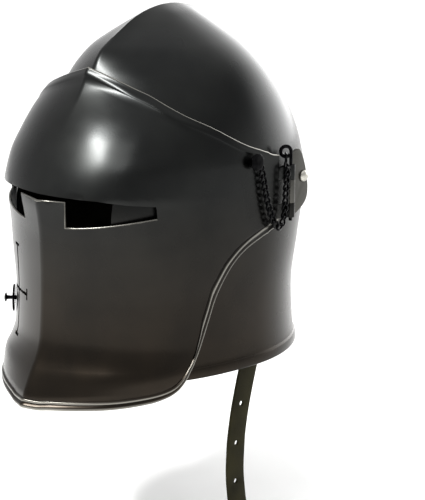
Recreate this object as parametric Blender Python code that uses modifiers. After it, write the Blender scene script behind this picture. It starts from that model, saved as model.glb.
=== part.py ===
"""Visored barbute: a steel helmet with a hinged face plate, keeper chains and a leather chin strap.

Metres, +Z up. The wearer faces -Y and the wearer's left is +X. The origin is the inside of the crown,
where the helmet bears on the head. Every outer form is a stack of level plan sections: each section runs
from the median plane round to the helmet's widest place, which lies in the plane Y = 0.
"""

from math import asin, cos, pi, radians, sin, sqrt, tan

import bmesh
import bpy
import numpy as np
from mathutils import Matrix, Vector

# Bowl
WALL = 0.002
BOWL_HEIGHT = 0.2875
BOWL_HALF_WIDTH = 0.1037
BOWL_FRONT_REACH = 0.1387
BOWL_BACK_REACH = 0.1205
RIM_BAND_HEIGHT = 0.0085
RIM_BAND_RISE = 0.0012
RIM_BAND_ROUNDING = 0.0011
FACE_OPENING_WIDTH = 0.114
FACE_OPENING_HEIGHT = 0.1875
FACE_OPENING_CORNER = 0.045
FACE_OPENING_SPLAY = 0.012
FACE_OPENING_FOOT = 0.030

# Face plate
PLATE_GAP = 0.0041
PLATE_FRONT_GAP = 0.0062
PLATE_HALF_WIDTH = BOWL_HALF_WIDTH + PLATE_GAP + WALL
PLATE_REACH = BOWL_FRONT_REACH + PLATE_FRONT_GAP + WALL
PLATE_BACK = 0.0126
BOTTOM_BEAD_RADIUS = 0.0022
EDGE_BEAD_RADIUS = 0.0013
BORDER_WIDTH = 0.005
BORDER_STEP = 0.0015
BORDER_RISE = 0.0007
SIGHT_HALF_WIDTH = 0.0875
SIGHT_INNER_HEIGHT = 0.0250
SIGHT_OUTER_HEIGHT = 0.0104
SIGHT_OUTER_DROP = 0.0038
NASAL_HALF_WIDTH = 0.0235
NASAL_SPREAD = 0.0024
NASAL_GAP = 0.0040
NASAL_DIP = 0.0012
CROSS_OFFSET = 0.047
CROSS_BELOW_SIGHTS = 0.0881
CROSS_HEIGHT = 0.0775
CROSS_ARM_WIDTH = 0.042
CROSS_SLOT = 0.0026
CROSS_SERIF = 0.0095

# Hinges, arms and pivots
PIVOT_BACK = 0.0422
PIVOT_BELOW_CORNER = 0.0202
PIVOT_SHANK_RADIUS = 0.003
PIVOT_HEAD_RADIUS = 0.0047
PIVOT_HEAD_HEIGHT = 0.003
PIVOT_COLLAR_RADIUS = 0.0055
BARREL_BACK = 0.0250
BARREL_RADIUS = 0.0035
BARREL_HEIGHT = 0.043
BARREL_BELOW_CORNER = 0.0082
KNUCKLE_WEB = 0.0025
PIN_RADIUS = 0.0015
PIN_RING_RADIUS = 0.0042
PIN_TAIL = 0.0035
ARM_LENGTH = 0.0194
ARM_HEIGHT = 0.0552
ARM_RISE = 0.0124

# Chains and their posts
POST_FORWARD = 0.0175
POST_BELOW_CORNER = 0.0004
POST_STEM_RADIUS = 0.001
POST_HEAD_RADIUS = 0.0068
POST_HEAD_THICKNESS = 0.0013
POST_STANDOFF = 0.0047
POST_FLANGE_RADIUS = 0.0030
POST_FLANGE_THICKNESS = 0.0007
CHAIN_DROP = 0.0555
CHAIN_STANDOFF = 0.0058
CHAIN_WIRE_RADIUS = 0.0008
LINK_LENGTH = 0.0092
LINK_WIDTH = 0.0064
LINK_TWIST = 42.0
LINK_CORNERS = 8
LINK_OVERLAP = 0.0002
END_LINK_LENGTH = 0.0114
END_LINK_WIDTH = 0.0074
END_LINK_LIFT = 0.0022

# Lift peg
PEG_OFFSET = 0.070
PEG_BELOW_SIGHTS = 0.1036
PEG_STEM_RADIUS = 0.0018
PEG_HEAD_RADIUS = 0.0042
PEG_LENGTH = 0.0105
PEG_WASHER_RADIUS = 0.0115
PEG_WASHER_THICKNESS = 0.0015

# Straps
STRAP_WIDTH = 0.020
STRAP_THICKNESS = 0.0024
STRAP_DROP = 0.2020
STRAP_HOLE_RADIUS = 0.0021
STRAP_HOLE_PITCH = 0.0335
STRAP_HOLES = 5
STRAP_FIRST_HOLE = 0.0830
STRAP_INSET = 0.0035
STUD_HEAD_RADIUS = 0.0050
STUD_SHANK_RADIUS = 0.0018
STUD_HEAD_HEIGHT = 0.0018
STUD_ABOVE_RIM = 0.0715
STRAP_BACK = 0.015
BUCKLE_STRAP_LENGTH = 0.088
BUCKLE_WIDTH = 0.030
BUCKLE_HEIGHT = 0.026
BUCKLE_CORNER = 0.004
BUCKLE_WIRE_RADIUS = 0.0017
PRONG_RADIUS = 0.0012
PRONG_SLOT = 0.006

# Clearance between pieces that touch
CLEARANCE = 0.0003
ROUND_STEPS = 14

# Bowl sections: height above the rim as a share of the bowl's height, front reach, back reach and
# half width as shares of the bowl's own, and how far the keel's sides lean back from square, in degrees.
BOWL_SECTIONS = (
    (0.000, 0.976, 0.930, 0.965, 0),
    (0.075, 0.969, 0.905, 0.949, 0),
    (0.192, 0.976, 0.872, 0.963, 0),
    (0.326, 0.990, 0.935, 0.986, 0),
    (0.459, 1.000, 1.000, 1.000, 0),
    (0.529, 0.969, 1.000, 1.000, 0),
    (0.593, 0.896, 0.965, 0.986, 0),
    (0.710, 0.747, 0.860, 0.917, 4),
    (0.793, 0.657, 0.738, 0.819, 10),
    (0.840, 0.616, 0.655, 0.732, 16),
    (0.886, 0.557, 0.568, 0.593, 26),
    (0.913, 0.484, 0.503, 0.482, 34),
    (0.937, 0.405, 0.428, 0.370, 42),
    (0.962, 0.318, 0.341, 0.241, 52),
    (0.981, 0.228, 0.254, 0.134, 60),
    (0.9917, 0.148, 0.166, 0.060, 62),
    (0.9983, 0.066, 0.072, 0.012, 62),
    (1.000, 0.000, 0.000, 0.000, 62),
)

# Face plate sections: height above the rim as a share of the bowl's height, front reach and half width
# as shares of the plate's own, how far the medial ridge's sides lean back in degrees, and how full the
# cheeks are.
PLATE_SECTIONS = (
    (-0.085, 1.155, 0.830, 20, 0.72),
    (-0.042, 1.128, 0.900, 17, 0.73),
    (-0.008, 1.098, 0.935, 15, 0.73),
    (0.028, 1.063, 0.955, 13, 0.73),
    (0.062, 1.026, 0.958, 12, 0.69),
    (0.108, 0.998, 0.955, 11.5, 0.665),
    (0.222, 0.980, 0.960, 11, 0.665),
    (0.306, 0.975, 0.983, 11, 0.685),
    (0.392, 0.976, 0.998, 11, 0.695),
    (0.449, 0.986, 1.000, 11, 0.70),
    (0.5025, 1.000, 1.000, 11, 0.70),
    (0.519, 0.982, 1.000, 3, 0.70),
    (0.593, 0.908, 1.000, 0, 0.70),
    (0.659, 0.836, 0.965, 0, 0.68),
    (0.710, 0.772, 0.922, 1, 0.67),
    (0.760, 0.704, 0.863, 5, 0.66),
    (0.796, 0.662, 0.803, 10, 0.66),
    (0.840, 0.625, 0.717, 16, 0.66),
    (0.860, 0.608, 0.675, 18, 0.66),
)

# Face plate edges: plan share (0 at the ridge, 1 at the widest place, past 1 straight back) and the
# heights of the lower and the upper edge there, as shares of the bowl's height above the rim.
PLATE_EDGES = (
    (0.00, -0.0625, 0.8430),
    (0.06, -0.0635, 0.8345),
    (0.12, -0.0590, 0.8260),
    (0.20, -0.0550, 0.8140),
    (0.30, -0.0500, 0.7980),
    (0.40, -0.0458, 0.7820),
    (0.52, -0.0390, 0.7550),
    (0.60, -0.0333, 0.7360),
    (0.66, -0.0232, 0.7220),
    (0.69, -0.0075, 0.7150),
    (0.71, 0.0240, 0.7100),
    (0.725, 0.0720, 0.7060),
    (0.745, 0.120, 0.7010),
    (0.77, 0.176, 0.6930),
    (0.79, 0.222, 0.6870),
    (0.82, 0.272, 0.6760),
    (0.85, 0.310, 0.6650),
    (0.89, 0.344, 0.6500),
    (0.93, 0.366, 0.6360),
    (0.97, 0.381, 0.6240),
    (1.00, 0.390, 0.6150),
    (1.50, 0.400, 0.6040),
    (2.00, 0.406, 0.6000),
)

# Where the face plate's brow shelf stands over the sights, as a share of the bowl's height above the rim.
BROW_SHELF = 0.5203

# Level rows of the face plate between its borders, as shares of the way up; two lie close to the shelf.
PLATE_ROWS = (0.08, 0.17, 0.28, 0.40, 0.52, 0.64, 0.76, 0.88)

# The chin strap's fall from its stud, chosen by hand: how far forward of the stud and how far below it, as
# shares of its drop.
STRAP_FALL = (
    (0.000, -0.040),
    (0.000, 0.030),
    (0.015, 0.129),
    (0.045, 0.238),
    (0.082, 0.347),
    (0.116, 0.460),
    (0.144, 0.574),
    (0.161, 0.688),
    (0.166, 0.802),
    (0.156, 0.911),
    (0.141, 1.000),
)

# The keeper chain's fall, chosen by hand from its post towards the pin's ring: how far it hangs out from
# the face plate's side as a share of its standoff, how far back from the post as a share of the way to the
# hinge's line, and how far below the post as a share of its drop.
CHAIN_FALL = (
    (0.45, -0.042, -0.016),
    (0.48, 0.090, 0.030),
    (0.51, 0.145, 0.120),
    (0.56, 0.190, 0.250),
    (0.62, 0.235, 0.430),
    (0.69, 0.295, 0.612),
    (0.80, 0.365, 0.783),
    (0.93, 0.463, 0.937),
    (1.00, 0.583, 1.000),
    (0.97, 0.680, 0.935),
    (0.92, 0.732, 0.812),
    (0.90, 0.755, 0.668),
    (0.90, 0.770, 0.497),
    (0.96, 0.780, 0.330),
    (0.98, 0.795, 0.225),
)

# The pivot arm from the side: how far back from its hinge edge as a share of its length and how far below
# its top as a share of its height.
ARM_SHAPE = (
    (0.000, 0.063),
    (0.400, 0.000),
    (0.655, 0.130),
    (0.856, 0.335),
    (1.000, 0.598),
    (0.948, 0.775),
    (0.700, 0.882),
    (0.260, 0.978),
    (0.000, 1.000),
)

STEEL = ((0.035, 0.036, 0.035), 0.32, 0.9)
BARE_STEEL = ((0.55, 0.54, 0.50), 0.30, 1.0)
DARK_STEEL = ((0.012, 0.012, 0.012), 0.45, 0.8)
LEATHER = ((0.050, 0.048, 0.030), 0.60, 0.0)


def material(name, look):
    """A plain surface with a colour, a roughness and a metallic share."""
    made = bpy.data.materials.get(name) or bpy.data.materials.new(name)
    made.use_nodes = True
    shader = made.node_tree.nodes["Principled BSDF"]
    colour, roughness, metallic = look
    shader.inputs["Base Color"].default_value = (*colour, 1)
    shader.inputs["Roughness"].default_value = roughness
    shader.inputs["Metallic"].default_value = metallic
    made.diffuse_color = (*colour, 1)
    return made


def group(name):
    """A named collection in the scene."""
    made = bpy.data.collections.new(name)
    bpy.context.scene.collection.children.link(made)
    return made


def add_object(name, data, look, parts, smooth=35):
    """Link a mesh as a named part with its surface."""
    if isinstance(data, bpy.types.Mesh):
        data.shade_smooth()
        data.set_sharp_from_angle(angle=radians(smooth))
    data.name = name
    data.materials.clear()
    data.materials.append(material(*look))
    made = bpy.data.objects.new(name, data)
    parts.objects.link(made)
    return made


def add_cutter(name, data, cutters):
    """Link a mesh as a hidden guide for a cut or a join."""
    made = bpy.data.objects.new(name, data)
    made.hide_render = True
    made.display_type = "WIRE"
    cutters.objects.link(made)
    return made


def combine(target, operand, operation):
    """A Boolean modifier between two objects."""
    change = target.modifiers.new(operand.name, "BOOLEAN")
    change.operation = operation
    change.object = operand
    change.solver = "EXACT"


def mesh_of(made):
    """A bmesh as a mesh."""
    data = bpy.data.meshes.new("mesh")
    made.to_mesh(data)
    made.free()
    return data


def curve_mesh(curve):
    """A curve as a closed mesh, with its caps welded."""
    holder = bpy.data.objects.new("curve", curve)
    bpy.context.scene.collection.objects.link(holder)
    bpy.context.view_layer.update()
    evaluated = holder.evaluated_get(bpy.context.evaluated_depsgraph_get())
    data = bpy.data.meshes.new_from_object(evaluated)
    bpy.data.objects.remove(holder)
    bpy.data.curves.remove(curve)
    made = bmesh.new()
    made.from_mesh(data)
    bmesh.ops.remove_doubles(made, verts=made.verts, dist=1e-6)
    bmesh.ops.recalc_face_normals(made, faces=made.faces)
    made.to_mesh(data)
    made.free()
    return data


def plate_mesh(outlines, low, high, frame):
    """Flat outlines, holes among them, extruded from low to high along the frame's third axis."""
    curve = bpy.data.curves.new("outline", "CURVE")
    curve.dimensions = "2D"
    curve.fill_mode = "BOTH"
    curve.extrude = (high - low) / 2
    for outline in outlines:
        spline = curve.splines.new("POLY")
        spline.points.add(len(outline) - 1)
        for point, (a, b) in zip(spline.points, outline):
            point.co = (a, b, 0, 1)
        spline.use_cyclic_u = True
    data = curve_mesh(curve)
    data.transform(frame @ Matrix.Translation((0, 0, (high + low) / 2)))
    return data


def wire_mesh(points, radius, resolution=1, cyclic=False):
    """A round wire through points."""
    curve = bpy.data.curves.new("wire", "CURVE")
    curve.dimensions = "3D"
    curve.bevel_depth = radius
    curve.bevel_resolution = resolution
    curve.use_fill_caps = True
    spline = curve.splines.new("POLY")
    spline.points.add(len(points) - 1)
    for point, place in zip(spline.points, points):
        point.co = (*place, 1)
    spline.use_cyclic_u = cyclic
    return curve_mesh(curve)


def turned_mesh(profile, steps=ROUND_STEPS):
    """A profile of (radius, height) rows, top to bottom, turned round Z."""
    made = bmesh.new()
    row = [made.verts.new((r, 0, z)) for r, z in profile]
    edges = [made.edges.new(pair) for pair in zip(row, row[1:])]
    bmesh.ops.spin(made, geom=row + edges, cent=(0, 0, 0), axis=(0, 0, 1), angle=2 * pi,
                   steps=steps, use_merge=True)
    bmesh.ops.remove_doubles(made, verts=made.verts, dist=1e-6)
    bmesh.ops.recalc_face_normals(made, faces=made.faces)
    return mesh_of(made)


def mirrored(data):
    """The same mesh for the wearer's right side."""
    copy = data.copy()
    copy.transform(Matrix.Scale(-1, 4, (1, 0, 0)))
    copy.flip_normals()
    return copy


def joined(meshes):
    """Several meshes as one."""
    made = bmesh.new()
    for data in meshes:
        made.from_mesh(data)
    return mesh_of(made)


def circle(centre, radius, steps=ROUND_STEPS, start=0.0, turn=2 * pi):
    """Points round a circle; a full turn leaves its last point out."""
    count = steps if turn == 2 * pi else steps + 1
    angles = [start + turn * i / steps for i in range(count)]
    return [(centre[0] + radius * cos(a), centre[1] + radius * sin(a)) for a in angles]


def smooth_table(table, x):
    """Read a table smoothly at x, its first column, without overshooting its rows."""
    keys = table[:, 0]
    rise = np.diff(table, axis=0) / np.diff(keys)[:, None]
    slope = np.zeros_like(table)
    slope[0] = rise[0]
    slope[-1] = rise[-1]
    for i in range(1, len(keys) - 1):
        a, b = keys[i] - keys[i - 1], keys[i + 1] - keys[i]
        for j in range(table.shape[1]):
            if rise[i - 1, j] * rise[i, j] > 0:
                mix = (2 * b + a) / rise[i - 1, j] + (b + 2 * a) / rise[i, j]
                slope[i, j] = 3 * (a + b) / mix
    i = int(np.clip(np.searchsorted(keys, x) - 1, 0, len(keys) - 2))
    a = keys[i + 1] - keys[i]
    t = (np.clip(x, keys[0], keys[-1]) - keys[i]) / a
    return ((2 * t**3 - 3 * t**2 + 1) * table[i] + (t**3 - 2 * t**2 + t) * a * slope[i]
            + (3 * t**2 - 2 * t**3) * table[i + 1] + (t**3 - t**2) * a * slope[i + 1])


def quarter(reach, half_width, lean, tip_fullness, side_fullness, t):
    """A quarter of a plan section: t = 0 at the median plane, 1 at the widest place."""
    x1 = tip_fullness * half_width
    y1 = reach - x1 * tan(radians(lean))
    y2 = side_fullness * reach
    x = 3 * t * (1 - t)**2 * x1 + 3 * t**2 * (1 - t) * half_width + t**3 * half_width
    y = (1 - t)**3 * reach + 3 * t * (1 - t)**2 * y1 + 3 * t**2 * (1 - t) * y2
    return x, y


def height_of(share):
    """The height of a share of the bowl above its rim; the crown's inside is at zero."""
    return (share - 1) * BOWL_HEIGHT + WALL


def share_of(height):
    """The share of the bowl's height at a height."""
    return (height - WALL) / BOWL_HEIGHT + 1


def bowl_table():
    """The bowl's sections with real sizes, keyed by the length walked up them."""
    sizes = np.array([BOWL_HEIGHT, BOWL_FRONT_REACH, BOWL_BACK_REACH, BOWL_HALF_WIDTH, 1])
    rows = np.array(BOWL_SECTIONS) * sizes
    walked = np.linalg.norm(np.diff(rows[:, :4], axis=0), axis=1)
    return np.column_stack([np.append(0, np.cumsum(walked)), rows])


def bowl_ring(table, walk, columns, rise=0.0, depth=0.0):
    """Points of the bowl's left half, from the front's median plane to the back's.

    rise stands the ring proud, and depth sinks it square to the wall, for the inside.
    """
    step = 1e-5
    end = table[-1, 0]
    low = smooth_table(table, max(walk - step, 0))
    high = smooth_table(table, min(walk + step, end))
    _, z, front, back, half, lean = smooth_table(table, walk)
    normals = []
    for column in (2, 4, 3):
        run = Vector((high[column] - low[column], high[1] - low[1])).normalized()
        normals.append((run[1], -run[0]))
    front += rise - depth * normals[0][0]
    half = max(half + rise - depth * normals[1][0], 0)
    back += rise - depth * normals[2][0]
    crown = min(max((z / BOWL_HEIGHT - 0.6) / 0.25, 0), 1)
    ring = []
    for i in range(2 * columns + 1):
        t = i / columns if i <= columns else 2 - i / columns
        if i <= columns:
            fullness = 0.62 - 0.10 * crown
            x, y = quarter(max(front, 0), half, lean, fullness, fullness, t)
            lift = normals[0][1] + (normals[1][1] - normals[0][1]) * t
            y = -y
        else:
            fullness = 0.54 - 0.02 * crown
            x, y = quarter(max(back, 0), half, lean, fullness, fullness, t)
            lift = normals[2][1] + (normals[1][1] - normals[2][1]) * t
        ring.append((x, y, z - BOWL_HEIGHT + WALL - depth * lift))
    return ring


def bowl_side(y, z):
    """How far out the bowl's outer face stands at a place on its side."""
    table = bowl_table()
    walks = np.linspace(0, table[-1, 0], 400)
    heights = np.array([smooth_table(table, w)[1] for w in walks])
    walk = float(np.interp(z + BOWL_HEIGHT - WALL, heights, walks))
    ring = np.array(bowl_ring(table, walk, 40))
    return float(np.interp(y, ring[:, 1], ring[:, 0]))


def bowl_mesh():
    """The bowl's left half: outside, inside and rim, open at the median plane."""
    table = bowl_table()
    columns = 9
    band = ((0.0, 0.5 * RIM_BAND_RISE), (RIM_BAND_ROUNDING, RIM_BAND_RISE),
            (RIM_BAND_HEIGHT - RIM_BAND_ROUNDING, RIM_BAND_RISE), (RIM_BAND_HEIGHT, 0.0))
    wall_rows = np.linspace(RIM_BAND_HEIGHT, table[-1, 0], 16)[1:]
    outer = [bowl_ring(table, walk, columns, rise=rise) for walk, rise in band]
    outer += [bowl_ring(table, walk, columns) for walk in wall_rows]
    inner = [bowl_ring(table, walk, columns, depth=WALL) for walk in (0.0, *wall_rows[:-1])]
    crown = [(0, 0, 0)] * (2 * columns + 1)
    loft = outer + [crown] + inner[::-1]
    made = bmesh.new()
    grid = [[made.verts.new(place) for place in ring] for ring in loft]
    skipped = len(outer) - 1
    for r in range(len(grid)):
        if r == skipped:
            continue
        ring, above = grid[r], grid[(r + 1) % len(grid)]
        for a, b, c, d in zip(ring, ring[1:], above[1:], above):
            made.faces.new((a, b, c, d))
    bmesh.ops.remove_doubles(made, verts=made.verts, dist=2e-6)
    bmesh.ops.dissolve_degenerate(made, edges=made.edges, dist=1e-6)
    return mesh_of(made)


def plate_point(u, z, rise=0.0):
    """A point of the face plate's outer face at a plan share and a height."""
    table = np.array(PLATE_SECTIONS)
    _, reach, half, lean, fullness = smooth_table(table, share_of(z))
    t = min(u, 1.0)
    x, y = quarter(reach * PLATE_REACH, half * PLATE_HALF_WIDTH, lean, fullness, fullness, t)
    back = max(u - 1.0, 0) * PLATE_BACK
    place = np.array((x, -y + back, z))
    if rise:
        place = place + rise * plate_normal(u, z)
    return place


def plate_normal(u, z):
    """The face plate's outward direction; on the ridge it lies in the median plane."""
    du, dz = 1e-3, 1e-4
    along = plate_point(min(u + du, 2.0), z) - plate_point(max(u - du, 0.0), z)
    up = plate_point(u, z + dz) - plate_point(u, z - dz)
    out = np.cross(along, up)
    out = out / np.linalg.norm(out)
    if u == 0:
        lean = out[0]
        out[0] = 0
        out = out / (1 - lean**2)
    return out


def plate_edges(count):
    """Plan shares spread evenly along the lower edge, with the edge heights at each."""
    table = np.array(PLATE_EDGES)
    girth = 1.25 * PLATE_REACH
    run = np.where(table[:, 0] <= 1, table[:, 0] * girth, girth + (table[:, 0] - 1) * PLATE_BACK)
    walked = np.hypot(np.diff(run), np.diff(table[:, 1]) * BOWL_HEIGHT)
    keyed = np.column_stack([np.append(0, np.cumsum(walked)), table])
    rows = [smooth_table(keyed, s)[1:] for s in np.linspace(0, keyed[-1, 0], count)]
    return [(u, height_of(low), height_of(high)) for u, low, high in rows]


def edge_ring(place, out, inward, radius, angles):
    """Points round a rounded edge; out is off the face and inward runs from the edge into the plate."""
    centre = place - out * WALL / 2
    return [centre + radius * (cos(radians(a)) * out - sin(radians(a)) * inward) for a in angles]


def plate_mesh_half():
    """The face plate's left half: a closed section at each plan share, joined side to side."""
    edges = plate_edges(26)
    lows = [plate_point(u, low) for u, low, _ in edges]
    highs = [plate_point(u, high) for u, _, high in edges]
    sections = []
    for i, (u, low, high) in enumerate(edges):
        before, after = max(i - 1, 0), min(i + 1, len(edges) - 1)
        low_run = lows[after] - lows[before]
        high_run = highs[after] - highs[before]
        if i == 0:
            low_run, high_run = np.array((1.0, 0, 0)), np.array((1.0, 0, 0))
        steep = np.linalg.norm(low_run) / max(np.hypot(low_run[0], low_run[1]), 1e-6)
        fade = float(np.clip((1.0 - u) / 0.12, 0, 1))
        low_out, high_out = plate_normal(u, low), plate_normal(u, high)
        low_in = np.cross(low_out, low_run)
        high_in = np.cross(high_run, high_out)
        low_in = low_in / np.linalg.norm(low_in)
        high_in = high_in / np.linalg.norm(high_in)
        if i == 0:
            low_in[0] = high_in[0] = 0
        bead = BOTTOM_BEAD_RADIUS + (EDGE_BEAD_RADIUS - BOTTOM_BEAD_RADIUS) * min(max((u - 0.6) / 0.12, 0), 1)
        first = BORDER_WIDTH * steep
        second = (BORDER_WIDTH + BORDER_STEP) * steep
        top_first = BORDER_WIDTH * (0.5 + 0.5 * fade)
        outer = [plate_point(u, low + first, BORDER_RISE * fade), plate_point(u, low + second)]
        span_low, span_high = low + second, high - top_first - BORDER_STEP
        outer += [plate_point(u, span_low + (span_high - span_low) * m) for m in PLATE_ROWS]
        outer += [plate_point(u, span_high), plate_point(u, high - top_first, BORDER_RISE * fade)]
        heights = [low + first] + [span_low + (span_high - span_low) * m for m in PLATE_ROWS]
        heights += [high - top_first]
        inner = [plate_point(u, z, -WALL) for z in heights[::-1]]
        bottom = edge_ring(lows[i], low_out, low_in, bead, (200, 155, 90, 25, -20))
        top = edge_ring(highs[i], high_out, high_in, EDGE_BEAD_RADIUS, (-25, 90, 205))
        sections.append(bottom + outer + top + inner)
    made = bmesh.new()
    loops = [[made.verts.new(place) for place in section] for section in sections]
    for left, right in zip(loops, loops[1:]):
        for j in range(len(left)):
            k = (j + 1) % len(left)
            made.faces.new((left[j], right[j], right[k], left[k]))
    last = loops[-1]
    count = len(last)
    beside = len(bottom) + 2
    made.faces.new(last[:len(bottom) + 1] + last[-1:])
    made.faces.new(last[len(bottom):beside + 1] + last[-2:])
    for j in range(beside, beside + len(PLATE_ROWS) - 1):
        mate = count - 2 - (j - beside)
        made.faces.new((last[j], last[j + 1], last[mate - 1], last[mate]))
    end = beside + len(PLATE_ROWS) - 1
    made.faces.new(last[end:end + 3] + last[end + 3 + len(top):end + 5 + len(top)])
    made.faces.new(last[end + 2:end + 4 + len(top)])
    for vert in loops[0]:
        vert.co.x = 0
    bmesh.ops.recalc_face_normals(made, faces=made.faces)
    return mesh_of(made)


# Flat outlines are drawn as seen from the front (across, up), from the wearer's left (back, up) or
# from above (out, back), and these frames stand them up.
FRONT_VIEW = Matrix(((1, 0, 0, 0), (0, 0, -1, 0), (0, 1, 0, 0), (0, 0, 0, 1)))
SIDE_VIEW = Matrix(((0, 0, 1, 0), (1, 0, 0, 0), (0, 1, 0, 0), (0, 0, 0, 1)))
PLAN_VIEW = Matrix.Identity(4)
SIDE_OUT = PLATE_HALF_WIDTH
BARREL_OUT = PLATE_HALF_WIDTH - WALL + CLEARANCE + BARREL_RADIUS
PLATE_CORNER = height_of(PLATE_EDGES[-1][2])
BARREL_TOP = PLATE_CORNER - BARREL_BELOW_CORNER
PIVOT_HEIGHT = PLATE_CORNER - PIVOT_BELOW_CORNER
POST_HEIGHT = PLATE_CORNER - POST_BELOW_CORNER
SIGHT_TOP = height_of(BROW_SHELF)
CROSS_MIDDLE = SIGHT_TOP - CROSS_BELOW_SIGHTS
PEG_MIDDLE = SIGHT_TOP - PEG_BELOW_SIGHTS
STUD_MIDDLE = height_of(0) + STUD_ABOVE_RIM


def mirror_outline(points):
    """An open outline from the median plane out and back to it, closed by its mirror image."""
    return list(points) + [(-x, y) for x, y in reversed(points) if x > 1e-9]


def face_opening_outline():
    """The bowl's plain arched face opening, splayed a little where it meets the rim."""
    half = FACE_OPENING_WIDTH / 2
    rim = height_of(0)
    top = rim + FACE_OPENING_HEIGHT
    corner = FACE_OPENING_CORNER
    arc = circle((half - corner, top - corner), corner, 6, pi / 2, -pi / 2)
    splay, rise = FACE_OPENING_SPLAY, FACE_OPENING_FOOT
    foot = [(half, rim + rise), (half + 0.3 * splay, rim + 0.47 * rise), (half + splay, rim + 0.1 * rise),
            (half + splay, rim - rise)]
    return mirror_outline([(0, top)] + arc + foot + [(0, rim - rise)])


def sight_outline():
    """The sight slits, joined over the nasal tongue's tip."""
    top = SIGHT_TOP
    inner = top - SIGHT_INNER_HEIGHT
    end_top = top - SIGHT_OUTER_DROP
    end_low = end_top - SIGHT_OUTER_HEIGHT
    run = SIGHT_HALF_WIDTH - NASAL_HALF_WIDTH
    sweep = [(NASAL_HALF_WIDTH + s * run, inner + s**1.5 * (end_low - inner))
             for s in (1, 0.75, 0.5, 0.25, 0)]
    tongue = [(NASAL_HALF_WIDTH + NASAL_SPREAD, top - NASAL_GAP), (0, top - NASAL_GAP - NASAL_DIP)]
    upper = [(0, top), (0.6 * SIGHT_HALF_WIDTH, top), (SIGHT_HALF_WIDTH, end_top)]
    return mirror_outline(upper + sweep + tongue)


def cross_outline():
    """The breath: a cross with a short bar over each end."""
    h, w = CROSS_HEIGHT / 2, CROSS_ARM_WIDTH / 2
    s, b = CROSS_SLOT / 2, CROSS_SERIF / 2
    quarter_turn = [(s, s), (s, h - 2 * s), (b, h - 2 * s), (b, h), (-b, h), (-b, h - 2 * s), (-s, h - 2 * s),
                    (-s, s), (-(w - 2 * s), s), (-(w - 2 * s), b), (-w, b), (-w, -b), (-(w - 2 * s), -b),
                    (-(w - 2 * s), -s), (-s, -s)]
    lower = [(-x, -y) for x, y in quarter_turn]
    points = quarter_turn[:-1] + lower[:-1]
    return [(x - CROSS_OFFSET, y + CROSS_MIDDLE) for x, y in points]


def plate_place(x, z):
    """The face plate's point and outward direction at a distance left of centre and a height."""
    shares = np.linspace(0, 1, 201)
    across = [plate_point(u, z)[0] for u in shares]
    u = float(np.interp(x, across, shares))
    return Vector(plate_point(u, z)), Vector(plate_normal(u, z))


def stand(place, out):
    """A frame whose Z axis points out of a surface at a place."""
    return Matrix.Translation(place) @ out.to_track_quat("Z", "Y").to_matrix().to_4x4()


def peg_frame():
    """Where the lift peg stands, on the wearer's right cheek."""
    place, out = plate_place(PEG_OFFSET, PEG_MIDDLE)
    return stand(Vector((-place.x, place.y, place.z)), Vector((-out.x, out.y, out.z)))


def post_frame():
    """Where the left chain's post stands, near the face plate's hinge edge."""
    shares = np.linspace(0.5, 1.0, 201)
    back = [plate_point(u, POST_HEIGHT)[1] for u in shares]
    u = float(np.interp(-POST_FORWARD, back, shares))
    return stand(Vector(plate_point(u, POST_HEIGHT)), Vector(plate_normal(u, POST_HEIGHT)))


def seat(frame, radius):
    """How high a flat round foot of this radius stands over the curved plate."""
    centre = frame.translation
    back = frame.inverted()
    side = -1 if centre.x < 0 else 1
    heights = []
    for z in np.linspace(centre.z - radius, centre.z + radius, 9):
        for u in np.linspace(0.3, 1.0, 71):
            x, y, _ = plate_point(u, z)
            local = back @ Vector((side * x, y, z))
            if local.to_2d().length < 1.05 * radius:
                heights.append(local.z)
    return max(heights) + 2 * CLEARANCE


def knuckle_outline(direction):
    """A rolled knuckle seen from above, with the web that runs to its plate: -1 forward, 1 back."""
    inner = BARREL_OUT - BARREL_RADIUS
    outer = inner + WALL - 2 * CLEARANCE
    reach = sqrt(BARREL_RADIUS**2 - (BARREL_OUT - outer)**2)
    arc = circle((0, 0), BARREL_RADIUS, 11, pi, asin(reach / BARREL_RADIUS) - 2 * pi)
    web = BARREL_BACK - PLATE_BACK + KNUCKLE_WEB
    outline = [(BARREL_OUT + x, BARREL_BACK - direction * y) for x, y in arc]
    outline += [(outer, BARREL_BACK + direction * web), (inner, BARREL_BACK + direction * web)]
    bore = circle((BARREL_OUT, BARREL_BACK), PIN_RADIUS + CLEARANCE, 8)
    return [outline, bore]


def knuckle_spans():
    """The heights of the three knuckles: the outer two are the face plate's, the middle one the arm's."""
    outer = 0.27 * BARREL_HEIGHT
    low = BARREL_TOP - BARREL_HEIGHT
    return ((BARREL_TOP - outer, BARREL_TOP), (low, low + outer),
            (low + outer + CLEARANCE, BARREL_TOP - outer - CLEARANCE))


def arm_outline():
    """The pivot arm from the side: tall at the hinge, rounded past the rivet."""
    front = BARREL_BACK + BARREL_RADIUS + CLEARANCE
    top = BARREL_TOP + ARM_RISE
    return [(front + back * ARM_LENGTH, top - down * ARM_HEIGHT) for back, down in ARM_SHAPE]


def make_bowl(parts, cutters):
    """The keeled bowl, with its face opening and the holes for the pivot rivets."""
    bowl = add_object("skull", bowl_mesh(), ("blackened_steel", STEEL), parts)
    halves = bowl.modifiers.new("halves", "MIRROR")
    halves.merge_threshold = 0.00005
    opening = plate_mesh([face_opening_outline()], 0.25 * BOWL_FRONT_REACH, 1.5 * BOWL_FRONT_REACH,
                         FRONT_VIEW)
    combine(bowl, add_cutter("face_opening_cut", opening, cutters), "DIFFERENCE")
    combine(bowl, add_cutter("pivot_hole_cut", pivot_hole_mesh(), cutters), "DIFFERENCE")


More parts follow.
